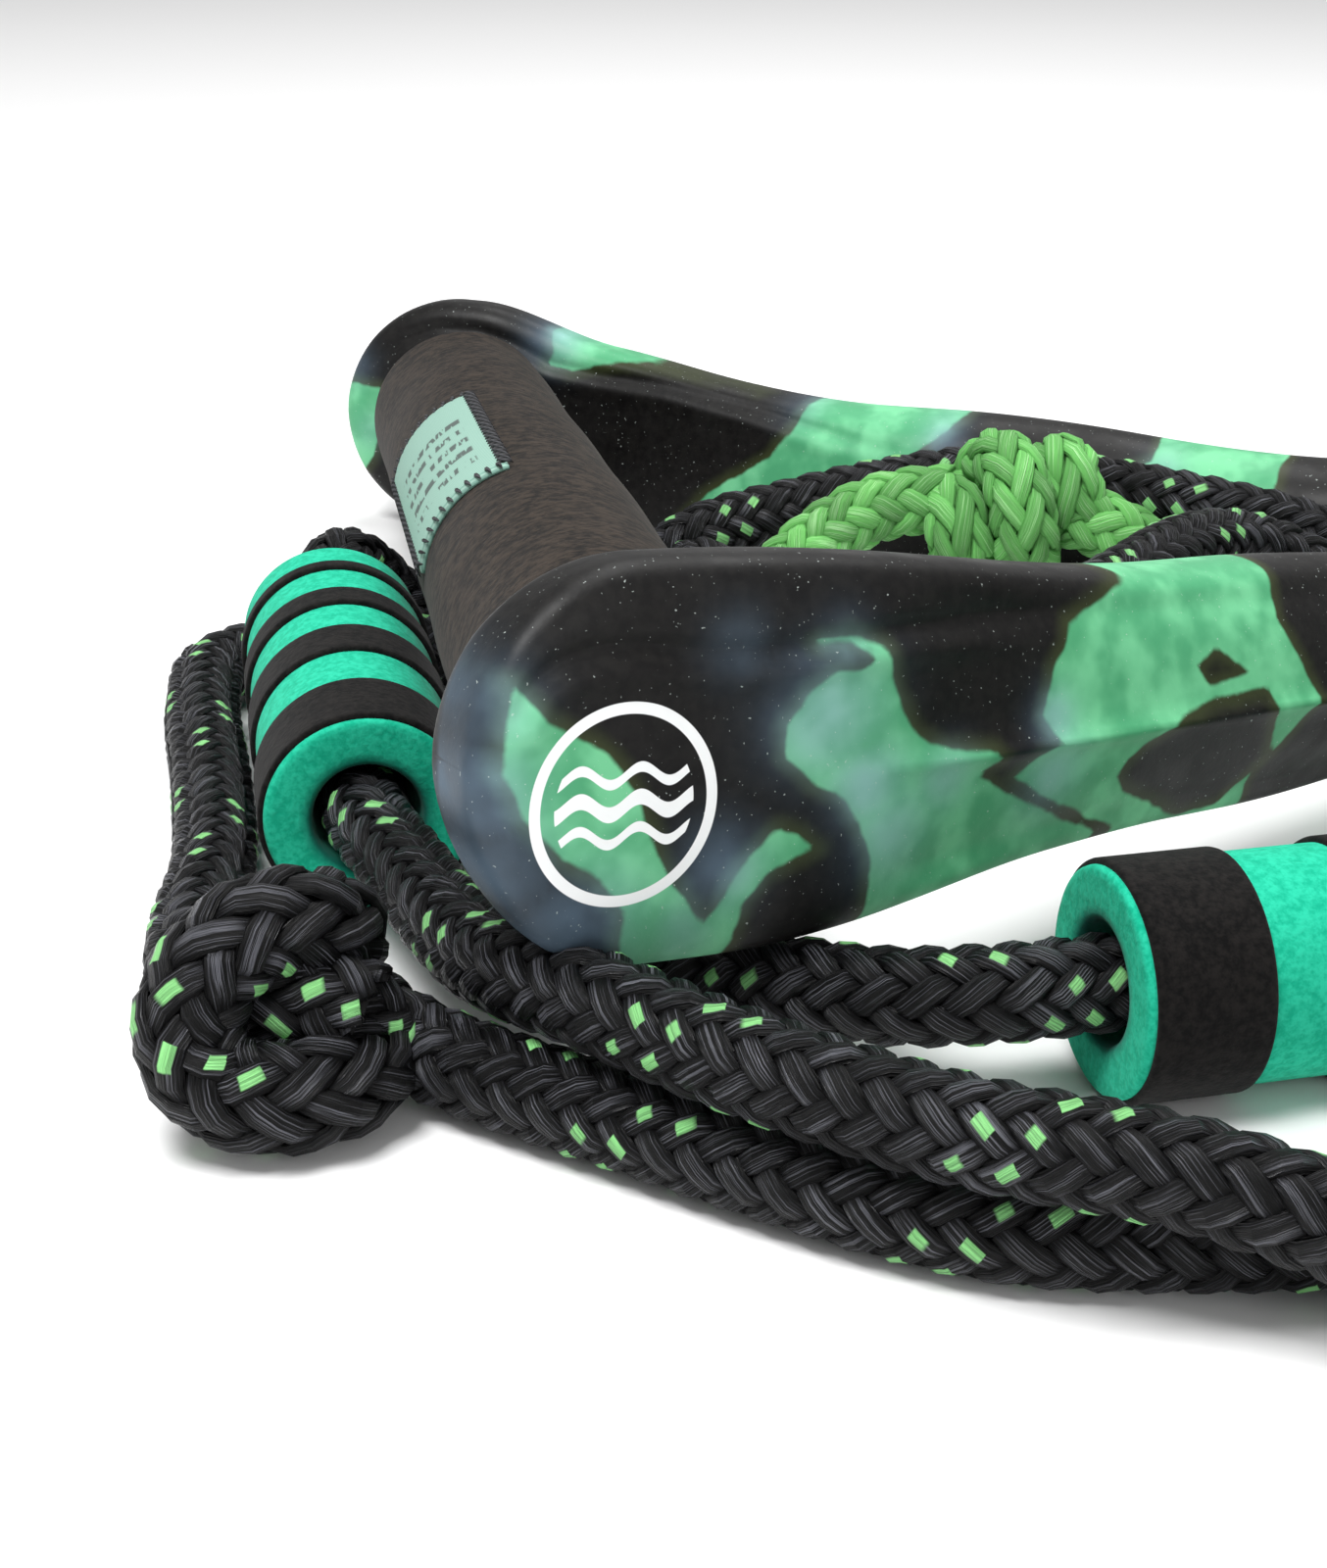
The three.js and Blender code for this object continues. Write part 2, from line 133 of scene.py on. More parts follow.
# ---- Meshes ----
def add_mesh(name, points, faces, materials, uv=None, facts=None, face_material=None):
    """A mesh object from points in millimetres. faces is an array or a list of arrays, uv and facts hold
    one value per point, and face_material one per face."""
    sets = [np.asarray(f, np.int32) for f in (faces if isinstance(faces, list) else [faces])]
    corners = np.concatenate([f.ravel() for f in sets])
    sizes = np.concatenate([np.full(len(f), f.shape[1]) for f in sets])
    starts = np.concatenate([[0], np.cumsum(sizes)[:-1]]).astype(np.int32)
    mesh = bpy.data.meshes.new(name)
    mesh.vertices.add(len(points))
    mesh.vertices.foreach_set("co", metres(points).astype(np.float32).ravel())
    mesh.loops.add(len(corners))
    mesh.loops.foreach_set("vertex_index", corners)
    mesh.polygons.add(len(sizes))
    mesh.polygons.foreach_set("loop_start", starts)
    mesh.polygons.foreach_set("use_smooth", np.full(len(sizes), True))
    if face_material is not None:
        mesh.polygons.foreach_set("material_index", np.asarray(face_material, np.int32))
    mesh.update(calc_edges=True)
    if uv is not None:
        layer = mesh.uv_layers.new(name="UVMap")
        layer.data.foreach_set("uv", np.asarray(uv, np.float32)[corners].ravel())
    for key, values in (facts or {}).items():
        attribute = mesh.attributes.new(key, "FLOAT", "POINT")
        attribute.data.foreach_set("value", np.asarray(values, np.float32))
    for material in materials:
        mesh.materials.append(material)
    made = bpy.data.objects.new(name, mesh)
    bpy.context.scene.collection.objects.link(made)
    return made


def fan(centre, first, columns, way=1):
    """Triangles from a centre point to a ring of points, numbered from first. way -1 turns them over."""
    j = np.arange(columns)
    k = (j + 1) % columns
    return np.stack([np.full_like(j, centre), first + j, first + k], 1)[:, ::way]


def loft(name, rings, materials, closed=False, **look):
    """A skin over rings of equal size. Its ends are filled, or joined to each other if it is closed."""
    rings = np.asarray(rings, float)
    rows, columns = rings.shape[:2]
    points = rings.reshape(-1, 3)
    count = rows * columns
    faces = grid_faces(rows, columns)
    if closed:
        j = np.arange(columns)
        k = (j + 1) % columns
        last = count - columns
        seam = np.stack([last + j, last + k, k, j], 1)
        return add_mesh(name, points, np.vstack([faces, seam]), materials, **look)
    points = np.vstack([points, rings[0].mean(0)[None], rings[-1].mean(0)[None]])
    ends = [fan(count, 0, columns, -1), fan(count + 1, count - columns, columns)]
    return add_mesh(name, points, [faces] + ends, materials, **look)


def seat(piece, body, slot, *cad_nodes):
    """Puts a piece on its body and lets it stand for CAD nodes. slot is not used."""
    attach(piece, body)
    if cad_nodes:
        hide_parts(*cad_nodes)
    return piece


def grid_faces(rows, columns, wrap=True, offset=0):
    """Quads over a grid of points stored row by row. wrap joins the last column to the first."""
    i, j = np.meshgrid(np.arange(rows - 1), np.arange(columns if wrap else columns - 1), indexing="ij")
    k = (j + 1) % columns
    quads = np.stack([i * columns + j, i * columns + k, (i + 1) * columns + k, (i + 1) * columns + j], -1)
    return quads.reshape(-1, 4) + offset


# ---- Braided rope ----
ROPE_R = 6.0
STRANDS = 8  # in each direction
STRAND_SECTION = [(-0.54, -0.2), (-0.36, 0.26), (0.0, 0.42), (0.36, 0.26), (0.54, -0.2), (0.0, -0.5)]
STRAND_THICK = 0.2  # of the rope's radius
STRAND_TURN = 0.72  # of a strand's way goes round the rope, the rest along it
STRAND_FULL = 1.06  # strands are a little wider than their share, so that they touch
WEAVE_LIFT = 0.62  # of a strand's thickness, over and under
GAP_SHADE_SIDES = 12


def braid(name, line, materials, radius=ROPE_R, step=1.55, start=0.0, tracers=()):
    """A rope of flat strands, half turning each way and passing over two and under two. line is in
    millimetres, start is the length of rope before it, so that two pieces of one rope carry one pattern."""
    line = resample(line, step)
    steps = len(line)
    s = arc(line) + start
    t, n, b = frames(line)
    thick = radius * STRAND_THICK
    middle = radius - thick * 1.15
    twist = STRAND_TURN / middle
    slant = math.atan(twist * middle)
    width = 2 * math.pi * middle * math.cos(slant) / STRANDS * STRAND_FULL
    sides = len(STRAND_SECTION)
    points, faces, caps, uv, tracer, shade, crest = [], [], [], [], [], [], []
    covered = 0

    def tube(count):
        """Faces of a tube whose count long rows of points have just been added, and its two ends."""
        closing = np.arange(steps - 1) + covered
        last = closing + (count - 1) * steps
        ends = np.arange(count) * steps + covered
        skin = [grid_faces(count, steps, False, covered), np.stack([last + 1, closing + 1, closing, last], 1)]
        return np.vstack(skin), [ends[::-1], ends + steps - 1]

    phase = s * STRANDS * twist / math.pi
    for way in (1, -1):
        for i in range(STRANDS):
            angle = 2 * math.pi * i / STRANDS + way * twist * s
            lift = np.cos(math.pi / 2 * (phase + 2 * i - 0.5 if way > 0 else 2 * i - phase - 2.5))
            lift = np.tanh(1.6 * lift) / np.tanh(1.6)
            for across, out in STRAND_SECTION:
                turn = angle + across * width * math.cos(slant) / middle
                r = middle + thick * WEAVE_LIFT * lift + out * thick * 1.25
                along = -way * across * width * math.sin(slant)
                spoke = n * np.cos(turn)[:, None] + b * np.sin(turn)[:, None]
                points.append(line + spoke * r[:, None] + t * along)
                uv.append(np.stack([np.full(steps, across + 0.5), s * 0.01], 1))
            skin, ends = tube(sides)
            faces.append(skin)
            caps += ends
            tracer.append(np.full(sides * steps, float((way, i) in tracers)))
            crest.append(np.tile(lift, sides))
            # Each strand has its own fixed darkness, in a scattered order.
            shade.append(np.full(sides * steps, ((i * 37 + (way > 0) * 17) % 11) / 10))
            covered += sides * steps
    # A dark tube inside the strands shows through the gaps between them as painted shade.
    inner = middle - thick * 0.7
    for a in np.linspace(0, 2 * math.pi, GAP_SHADE_SIDES, endpoint=False):
        points.append(line + n * (inner * math.cos(a)) + b * (inner * math.sin(a)))
        uv.append(np.stack([np.full(steps, 0.5), s * 0.01], 1))
    core, gap_shade_caps = tube(GAP_SHADE_SIDES)
    for values in (tracer, shade, crest):
        values.append(np.zeros(GAP_SHADE_SIDES * steps))
    strands = np.vstack(faces)
    sets = [np.vstack([strands, core])[:, ::-1], np.array(caps), np.array(gap_shade_caps)]
    index = np.repeat([0, 1, 0, 1], [len(strands), len(core), len(caps), len(gap_shade_caps)])
    facts = {"tracer": np.concatenate(tracer), "shade": np.concatenate(shade), "crest": np.concatenate(crest)}
    return add_mesh(name, np.vstack(points), sets, materials, np.vstack(uv), facts, index)


# ---- Materials ----
class Net:
    """A material's node tree, with short calls for the nodes that the materials are made of."""

    def __init__(self, name):
        self.material = bpy.data.materials.new(name)
        self.material.use_nodes = True
        self.tree = self.material.node_tree
        self.shader = self.tree.nodes["Principled BSDF"]

    def node(self, kind, **values):
        made = self.tree.nodes.new(kind)
        for key, value in values.items():
            setattr(made, key, value)
        return made

    def feed(self, value, socket):
        """Links an output to a socket, or sets the socket to a number or a colour."""
        if isinstance(value, bpy.types.NodeSocket):
            self.tree.links.new(value, socket)
        elif isinstance(value, (int, float)):
            socket.default_value = value
        elif value is not None:
            socket.default_value = (*value, 1)

    def math(self, operation, a, b=0.5, c=None, clamp=False):
        made = self.node("ShaderNodeMath", operation=operation, use_clamp=clamp)
        for socket, value in zip(made.inputs, (a, b, c)):
            self.feed(value, socket)
        return made.outputs[0]

    def times(self, a, b):
        return self.math("MULTIPLY", a, b)

    def mix(self, factor, a, b, blend="MIX"):
        made = self.node("ShaderNodeMix", data_type="RGBA", blend_type=blend)
        for i, value in ((0, factor), (6, a), (7, b)):
            self.feed(value, made.inputs[i])
        return made.outputs[2]

    def ramp(self, value, low, high, a=0.0, b=1.0):
        """a below low, b above high, and a smooth step between."""
        made = self.node("ShaderNodeMapRange", interpolation_type="SMOOTHSTEP")
        for socket, number in zip(made.inputs, (value, low, high, a, b)):
            self.feed(number, socket)
        return made.outputs[0]

    def noise(self, scale, detail=3.0, vector=None, rough=0.5):
        made = self.node("ShaderNodeTexNoise")
        made.inputs["Scale"].default_value = scale
        made.inputs["Detail"].default_value = detail
        made.inputs["Roughness"].default_value = rough
        self.feed(self.object_place() if vector is None else vector, made.inputs["Vector"])
        return made.outputs["Fac"]

    def bands(self, direction, scale, vector, distortion=0.0):
        made = self.node("ShaderNodeTexWave", wave_type="BANDS", bands_direction=direction)
        made.inputs["Scale"].default_value = scale
        made.inputs["Distortion"].default_value = distortion
        self.feed(vector, made.inputs["Vector"])
        return made.outputs["Fac"]

    def object_place(self):
        return self.node("ShaderNodeTexCoord").outputs["Object"]

    def uv(self):
        return self.node("ShaderNodeUVMap", uv_map="UVMap").outputs[0]

    def fact(self, name):
        return self.node("ShaderNodeAttribute", attribute_name=name).outputs["Fac"]

    def stretched(self, vector, scale):
        made = self.node("ShaderNodeMapping")
        made.inputs["Scale"].default_value = scale
        self.feed(vector, made.inputs["Vector"])
        return made.outputs[0]

    def split(self, vector):
        made = self.node("ShaderNodeSeparateXYZ")
        self.feed(vector, made.inputs[0])
        return made.outputs[:2]

    def bump(self, height, strength, distance):
        made = self.node("ShaderNodeBump")
        made.inputs["Strength"].default_value = strength
        made.inputs["Distance"].default_value = distance
        self.feed(height, made.inputs["Height"])
        self.feed(made.outputs[0], self.shader.inputs["Normal"])

    def surface(self, color, rough, **others):
        """Sets the shader's colour and roughness, and other sockets by name, with _ for a space."""
        self.feed(color, self.shader.inputs["Base Color"])
        self.feed(rough, self.shader.inputs["Roughness"])
        for name, value in others.items():
            self.shader.inputs[name.replace("_", " ")].default_value = value
        return self.material


def srgb(*values):
    return tuple((c / 255 / 12.92) if c <= 10 else ((c / 255 + 0.055) / 1.055) ** 2.4 for c in values)


def rope_material(name, base, light, tracer_color, roughness):
    """Filament yarn: fine lines along each strand, a painted highlight with glint streaks on each strand's
    crown that fades where the strand dips under others, and a coloured tracer yarn.
    """
    net = Net(name)
    place = net.uv()
    lines = net.noise(1.0, 3.0, net.stretched(place, (17.0, 7.0, 1.0)), 0.65)
    off_middle = net.math("ABSOLUTE", net.math("SUBTRACT", net.split(place)[0], 0.5))
    crown_highlight = net.ramp(off_middle, 0.2, 0.5, 1.0, 0.0)
    glint_streaks = net.ramp(lines, 0.52, 0.6)
    highlight_on_raised = net.ramp(net.fact("crest"), -0.4, 0.9, 0.1, 1.0)
    # Painted highlight: the light colour on each strand's crown where its filament lines catch the lamps,
    # fading where the strand dips under others.
    shaded = net.mix(net.times(net.times(glint_streaks, crown_highlight), highlight_on_raised), base, light)
    depth = net.math("MULTIPLY_ADD", net.fact("shade"), 0.45, 0.6)
    grey = net.node("ShaderNodeCombineXYZ")
    for socket in grey.inputs:
        net.feed(depth, socket)
    shaded = net.mix(1.0, shaded, grey.outputs[0], "MULTIPLY")
    band = net.ramp(off_middle, 0.18, 0.24, 1.0, 0.0)
    short = net.ramp(net.fact("crest"), 0.89, 0.93)
    marked = net.times(net.times(band, short), net.fact("tracer"))
    pale = net.mix(net.ramp(lines, 0.35, 0.7), tracer_color, [c * 0.55 for c in tracer_color])
    net.bump(lines, 1.0, 0.0007)
    rough = net.ramp(lines, 0.4, 0.62, roughness + 0.2, roughness - 0.1)
    return net.surface(net.mix(marked, shaded, pale), rough, Specular_IOR_Level=0.22)


# A dark colour for the tube inside a rope's strands: painted shade in the gaps of the braid.
def gap_shade_material(name, color):
    net = Net(name)
    return net.surface(net.mix(net.noise(900.0), color, [c * 0.5 for c in color]), 0.9)


# Each rope material's second colour is its painted highlight.
BLACK_ROPE = [rope_material("black_rope", srgb(4, 4, 5), srgb(100, 101, 108), srgb(146, 222, 140), 0.34),
              gap_shade_material("black_gap_shade", srgb(9, 9, 10))]
LIME_ROPE = [rope_material("lime_rope", srgb(116, 196, 104), srgb(172, 234, 160), srgb(140, 215, 128), 0.6),
             gap_shade_material("lime_gap_shade", srgb(60, 120, 56))]
BLACK_TRACERS = {(1, 0), (1, 1), (-1, 4), (-1, 5)}

# ---- Cords ----
LIME_EYE = [
    (309.2, 0, 31.2), (303, 0, 31.8), (292, 0, 35), (281, 0, 37), (272.6, 0, 33.6), (269, 0, 25),
    (272.6, 0, 16.4), (281, 0, 13), (292, 0, 14.6), (303, 0, 17.8), (309.2, 0, 18.4),
]
LIME_FROM_EYE = [
    (338.8, 0, 24.6), (346, -0.5, 22.8), (354, -4, 16), (366, -14, 9), (370, -27, 6.3), (363, -42, 6.3),
    (345, -50, 6.3), (320, -50, 6.3), (285, -47, 6.3), (250, -39, 6.3), (225, -26, 6.3), (205, -13, 6.3),
    (190, -5, 6.3), (172, 0, 6.3), (155, 8, 6.3), (140, 16, 7), (126, 24, 12), (112, 27.5, 18),
    (101.8, 31, 23.2), (96, 33, 25),
]
LIME_TO_JOIN = [
    (76, 35, 27.6), (70.2, 35.5, 27.3), (62, 36, 25.5), (53, 34, 21), (46.8, 30.5, 17), (42, 28, 14.5),
]
BLACK_TO_KNOT = [
    (22, 25.5, 10), (17, 25.5, 8.5), (8, 26, 6.3), (-6, 26.5, 6.3), (-22, 29.2, 6.3), (-37, 29.5, 6.3),
    (-47.5, 21.5, 6.3), (-49.5, 4, 6.3), (-48, -30, 6.3), (-47.6, -60, 6.3), (-50, -80, 6.3),
    (-50, -92, 7), (-47.5, -102.5, 9.5), (-45, -110, 13), (-42, -115, 15),
]
BLACK_KNOT_TO_COIL = [
    (-40, -116, 18), (-36, -117, 16.8), (-31, -117, 12.5), (-24.8, -116.6, 7.4), (-16.5, -123.5, 6.3),
    (-2.5, -136, 6.3), (11.5, -148.5, 6.3), (22, -157, 6.3), (34, -164, 6.3), (53, -168, 6.3),
    (90, -170, 6.3), (130, -169, 6.3), (155, -165, 6.3), (171, -151, 6.5), (174, -134, 9),
    (164, -118.5, 12), (147, -113.6, 14.5), (134, -115.2, 14.5), (94, -120.1, 14.5), (54.5, -125, 14.5),
    (41, -126, 14.3), (30, -122.5, 13), (18, -113, 11), (6, -102, 8), (1, -86, 6.3), (15, -68, 6.3),
    (40, -50, 8), (62, -37, 17), (80, -23, 25), (94, -8, 26), (108, 7, 26), (121, 15, 24), (133, 12, 19),
    (139, 0, 13), (139, -16, 8), (137, -32, 6.3), (136, -50, 6.3), (140, -66, 6.3), (151, -79, 6.3),
    (168, -86, 6.3), (190, -88, 6.3), (213, -84.5, 6.3), (238, -76.5, 7.4),
]
BLACK_COIL_TO_EYE = [
    (198, -122, 31.6), (199.5, -103.5, 30), (191, -88, 25), (181, -68, 14), (172, -50, 6.5),
    (166, -36, 6.3), (160, -18, 7.2), (156, -5, 13.2), (151, 6, 19.2), (143, 20, 20.5), (132, 31, 22.5),
    (119, 37, 24.5), (104, 44.5, 26), (86, 54, 25.7), (68, 53.5, 24), (51, 52, 21), (36, 49, 18.2),
    (24, 44.5, 12), (12, 40.5, 6.8), (0, 40, 6.3), (-11, 40.5, 6.3), (-18, 41, 11.5), (-23.5, 38, 17.8),
    (-27.5, 31, 20.5), (-29, 23.5, 17), (-29, 18.5, 14.9), (-29, 14.5, 14.5), (-28, -25, 14.5),
    (-27, -65, 14.5), (-25.5, -72, 14.3), (-23, -80, 13.8), (-20, -93, 13.6), (-16.5, -107, 14.5),
    (-12, -119, 16.6), (-8, -125.5, 17.7), (-4, -132, 18.5), (4, -142, 18.5), (14, -152.5, 18.5),
    (29, -165, 18.4), (48, -175.5, 18.2), (62, -182, 15), (78, -188, 9), (100, -193.5, 6.3),
    (121.6, -198, 6.3),
]
COIL_CENTRE = np.array([272.0, -150.0])
COIL_OUTER = 75.2
COIL_PITCH = 12.2
COIL_FLOOR = 7.9
COIL_ENTRY = math.radians(95)
COIL_TURNS = 8.79
# The turns lie three wide and three high, in this order: (columns in from the outside, layers up).
COIL_PLACES = [(0, 0), (1, 0), (2, 0), (2, 1), (2, 2), (1, 2), (1, 1), (0, 1), (0, 2)]
SHIFT_AT = 283.0  # degrees round the turn where the first one steps across to the next place
SHIFT_BACK = 20.0  # each later step comes this much sooner in its turn
SHIFT_LENGTH = 40.0


def coil_points():
    """Clockwise turns beside and on each other, from the outside at the bottom to the outside on top."""
    points = []
    for step in range(int(COIL_TURNS * 36) + 1):
        wound = step * 10.0
        column, layer = COIL_PLACES[0]
        for i, place in enumerate(COIL_PLACES[1:]):
            starts = SHIFT_AT + i * (360.0 - SHIFT_BACK)
            share = float(smoothstep(wound, starts, starts + SHIFT_LENGTH))
            column = blend_to(column, place[0], share)
            layer = blend_to(layer, place[1], share)
        angle = COIL_ENTRY - math.radians(wound)
        r = COIL_OUTER - COIL_PITCH * column
        x, y = COIL_CENTRE + r * np.array([math.cos(angle), math.sin(angle)])
        points.append((x, y, COIL_FLOOR + 2 * ROPE_R * layer))
    return points


def rope_piece(name, line, materials, *cad_nodes, body="rope", **look):
    slot = "lime_rope" if materials is LIME_ROPE else "black_rope"
    return seat(braid(name, line, materials, **look), body, slot, *cad_nodes)


def add_cord(name, line, cad_node, materials, far_end, lay, with_pieces=(), **look):
    rope = rope_piece(name, line, materials, cad_node, **look)


# The black rope is one rope: its pieces share one line, so that the braid runs on from piece to piece.
main_points = BLACK_KNOT_TO_COIL + coil_points() + BLACK_COIL_TO_EYE
main_line = smooth_route(main_points)
main_length = arc(main_line)


def cut_at(point):
    return int(np.argmin(np.linalg.norm(main_line - np.array(point), axis=1)))


coil_from = cut_at(BLACK_KNOT_TO_COIL[-2])
coil_to = cut_at(BLACK_COIL_TO_EYE[1])


KNOT_SPACING = 0.8


def wrap_line(start, end, turns, radius, phase, lead=0.35):
    """The line of a rope that runs in from start, wraps round the line to end, and dives back in."""
    start, end = np.array(start, float), np.array(end, float)
    axis = unit(end - start)
    n = unit(UP - axis * (UP @ axis))
    b = np.cross(axis, n)
    share = np.linspace(0, 1, int(60 * (turns + 1)))
    swell = smoothstep(np.minimum(share, 1 - share), 0, lead / (turns + 1))
    angle = phase + 2 * math.pi * turns * share
    along = start + (end - start) * share[:, None]
    around = n * np.cos(angle)[:, None] + b * np.sin(angle)[:, None]
    return along + radius * swell[:, None] * around


def add_knot(name, line, cad_nodes, materials, **look):
    return rope_piece(name, resample(line, KNOT_SPACING), materials, *cad_nodes, **look)


# The black knot is one fat turn with a short length of rope through its middle.
BLACK_KNOT_TURN = [
    (-34, -108, 15), (-33, -112, 20), (-36, -116, 23), (-42, -119, 23.6), (-47.6, -122, 19.5),
    (-49.6, -125, 13.5), (-46.8, -127, 8.9), (-40.8, -128, 7.2), (-34.4, -126, 7.2), (-30.5, -121, 7),
    (-31, -114, 7),
]
BLACK_KNOT_CORE = [(-47, -110, 14), (-44, -114, 15), (-40, -117.5, 15.4), (-35, -119, 14.6), (-30, -121, 13)]
black_knot = add_knot("black_knot_turn", smooth_route(BLACK_KNOT_TURN), ["black_knot"], BLACK_ROPE,
                      tracers=BLACK_TRACERS, radius=6.7)
add_knot("black_knot_turn_inner", smooth_route(BLACK_KNOT_CORE), [], BLACK_ROPE, tracers=BLACK_TRACERS,
         radius=6.7)
lime_knot = add_knot("lime_knot_wrap", wrap_line((75, 35, 26.5), (97, 33, 25.5), 2.0, 7.6, 1.0),
                     ["lime_knot"], LIME_ROPE)
add_knot("join_knot_wrap", wrap_line((43, 30, 12.5), (21, 24, 12.5), 2.0, 6.4, 0.5), ["join_knot"],
         BLACK_ROPE, tracers=BLACK_TRACERS, radius=5.4)

add_cord("black_rope_mid_braid", main_line[: coil_from + 1], "black_rope_mid", BLACK_ROPE, "object", "loose",
         tracers=BLACK_TRACERS)
add_cord("black_rope_coil_braid", main_line[coil_from : coil_to + 1], "rope_coil", BLACK_ROPE, "object",
         "coiled", step=3.9, start=main_length[coil_from], tracers=BLACK_TRACERS)
add_cord("black_rope_tow_braid", main_line[coil_to:], "black_rope_tow", BLACK_ROPE, "fitting", "loose",
         with_pieces=["tow_eye_sleeve"], start=main_length[coil_to], tracers=BLACK_TRACERS)
add_cord("black_rope_short_braid", smooth_route(BLACK_TO_KNOT), "black_rope_behind_knot", BLACK_ROPE, "knot",
         "loose", with_pieces=[black_knot], tracers=BLACK_TRACERS)
add_cord("lime_lead_braid", smooth_route(LIME_FROM_EYE), "lime_lead_rope", LIME_ROPE, "knot", "loose",
         with_pieces=[lime_knot])
rope_piece("lime_end_braid", smooth_route(LIME_TO_JOIN), LIME_ROPE, "lime_lead_end")
lime_eye_line = smooth_route([(314, 0, 31.4)] + LIME_EYE + [(314, 0, 18.3)])
rope_piece("lime_eye_braid", lime_eye_line, LIME_ROPE, "lime_eye")

# ---- Arms: a flat round-ended paddle that narrows to a round sleeve ----
BAR_NEAR = np.array([0.0, -111.0, 42.8])
BAR_FAR = np.array([0.0, 118.0, 22.7])
BAR_LENGTH = float(np.linalg.norm(BAR_FAR - BAR_NEAR))
BAR_AXIS = (BAR_FAR - BAR_NEAR) / BAR_LENGTH
PADDLE_UP = np.array([0.0, -BAR_AXIS[2], BAR_AXIS[1]])
PADDLE_R = 22.0
PADDLE_HALF = 7.0
BLADE_HALF = 16.8
SLEEVE_R = 12.0
NEAR_ARM = [
    (0, -118.2, 43.4), (25, -109, 41), (50, -94.5, 37.2), (75, -79, 33.5), (100, -64, 30.2),
    (125, -50, 28), (150, -37, 27), (180, -22.5, 26), (214, -13.2, 25),
]
FAR_ARM = [
    (0, 125.2, 22.1), (25, 114, 21.4), (50, 98, 19.6), (75, 81.5, 18), (100, 67, 17.2), (125, 54, 17.2),
    (150, 40, 18.8), (180, 24, 22), (214, 13.2, 25),
]


def arm_halves(along):
    """Half height and half thickness of an arm at a distance from the bar's axis."""
    blade = blend_to(PADDLE_R, BLADE_HALF, smoothstep(along, 5, 85))
    height = blend_to(blade, SLEEVE_R, smoothstep(along, 95, 175))
    thick = blend_to(PADDLE_HALF, SLEEVE_R, smoothstep(along, 15, 110))
    round_end = np.sqrt(np.maximum(0, 1 - (np.minimum(along, 0) / PADDLE_R) ** 2))
    return height * round_end, np.where(along < 0, thick * np.minimum(1, 0.5 + 0.8 * round_end), thick)


def distance_to_line(spots, line):
    """Distance from each spot to an open polyline, positive on its right-hand side."""
    best = np.full(len(spots), 1e9)
    side = np.ones(len(spots))
    for p, q in zip(line[:-1], line[1:]):
        p, q = np.array(p, float), np.array(q, float)
        along = np.clip(((spots - p) @ (q - p)) / ((q - p) @ (q - p)), 0, 1)
        off = spots - (p + along[:, None] * (q - p))
        d = np.hypot(off[:, 0], off[:, 1])
        nearer = d < best
        best = np.where(nearer, d, best)
        turn = (q - p)[0] * (spots - p)[:, 1] - (q - p)[1] * (spots - p)[:, 0]
        side = np.where(nearer, np.where(turn < 0, 1.0, -1.0), side)
    return best * side


def inside_distance(spots, outline):
    """Distance to a closed outline, positive inside."""
    closed = list(outline) + [outline[0]]
    d = np.abs(distance_to_line(spots, closed))
    inside = np.zeros(len(spots), bool)
    for (px, py), (qx, qy) in zip(closed[:-1], closed[1:]):
        if py == qy:
            continue
        crosses = (py > spots[:, 1]) != (qy > spots[:, 1])
        inside ^= crosses & (spots[:, 0] < px + (spots[:, 1] - py) / (qy - py) * (qx - px))
    return np.where(inside, d, -d)


def cloud(points, seed):
    """A smooth random value for each point, about -1 to 1, with its own pattern for each seed."""
    shift = Vector((seed * 7.3, seed * 3.1, seed * 5.7))
    return np.array([fractal(Vector(p) + shift, 0.6, 2.0, 3) for p in points.tolist()])


# Pools of mint in the arm's own plane: distance from the bar's axis and height, in millimetres.
NEAR_MINT = [
    [(-17.5, 9.5), (-13.5, 5.5), (-9, 3.2), (-5, 0), (-1.5, -5.5), (1, -11), (3.5, -15), (8, -20),
     (12, -21.5), (11, -28), (0, -28), (-3, -22), (-3, -17), (-6.5, -12.8), (-11.5, -9.8), (-16, -5),
     (-18.6, 0), (-18.2, 5)],
    [(6, -21), (9, -17.5), (11, -14.5), (13, -11.7), (16, -9), (19, -10), (21.5, -12), (18, -13),
     (15, -14.5), (12.5, -17.5), (11.5, -23)],
    [(20, 12.1), (24, 12.8), (28, 11.2), (29.5, 8), (31, 4.6), (33.5, 0.8), (38, -1.4), (45, -2),
     (46.5, -3.4), (43.5, -5), (48, -7.3), (54, -9.7), (61, -12.6), (68, -15.2), (66, -24), (30, -26),
     (29.5, -20), (29, -14.3), (28, -11.8), (26.5, -9), (24, -6), (20, -4), (16.5, -0.5), (16.5, 3.3),
     (19, 7), (22, 8.9), (26, 9), (26.8, 10.2), (24, 11.8)],
    [(71, 24), (70, 16.7), (65, 14.8), (60, 13), (58, 12), (57, 9.4), (55, 6.7), (54, 3.5), (53.3, 1.5),
     (54.5, -0.3), (56, -1.9), (52, -3.8), (49, -6), (60, -11), (71, -15.2), (72, -24), (100, -24),
     (96, -10), (103, 0), (97, 10), (101, 24)],
    [(118, 24), (124, 9), (119, -3), (131, -12), (140, -24), (158, -24), (150, -8), (156, 3), (146, 12),
     (150, 24)],
    [(176, 24), (180, 4), (174, -8), (185, -24), (201, -24), (196, -3), (204, 7), (199, 24)],
]
# Black islands in that mint.
NEAR_DARK = [
    [(93, 2), (84, 1.4), (77, 0), (75, -1.3), (72, -3.2), (69, -5.5), (68, -7.5), (70, -9.7), (75, -12),
     (84, -15), (92, -15), (97, -8)],
    [(84, 7.5), (80, 5.5), (82, 2.8), (90, 4)],
]
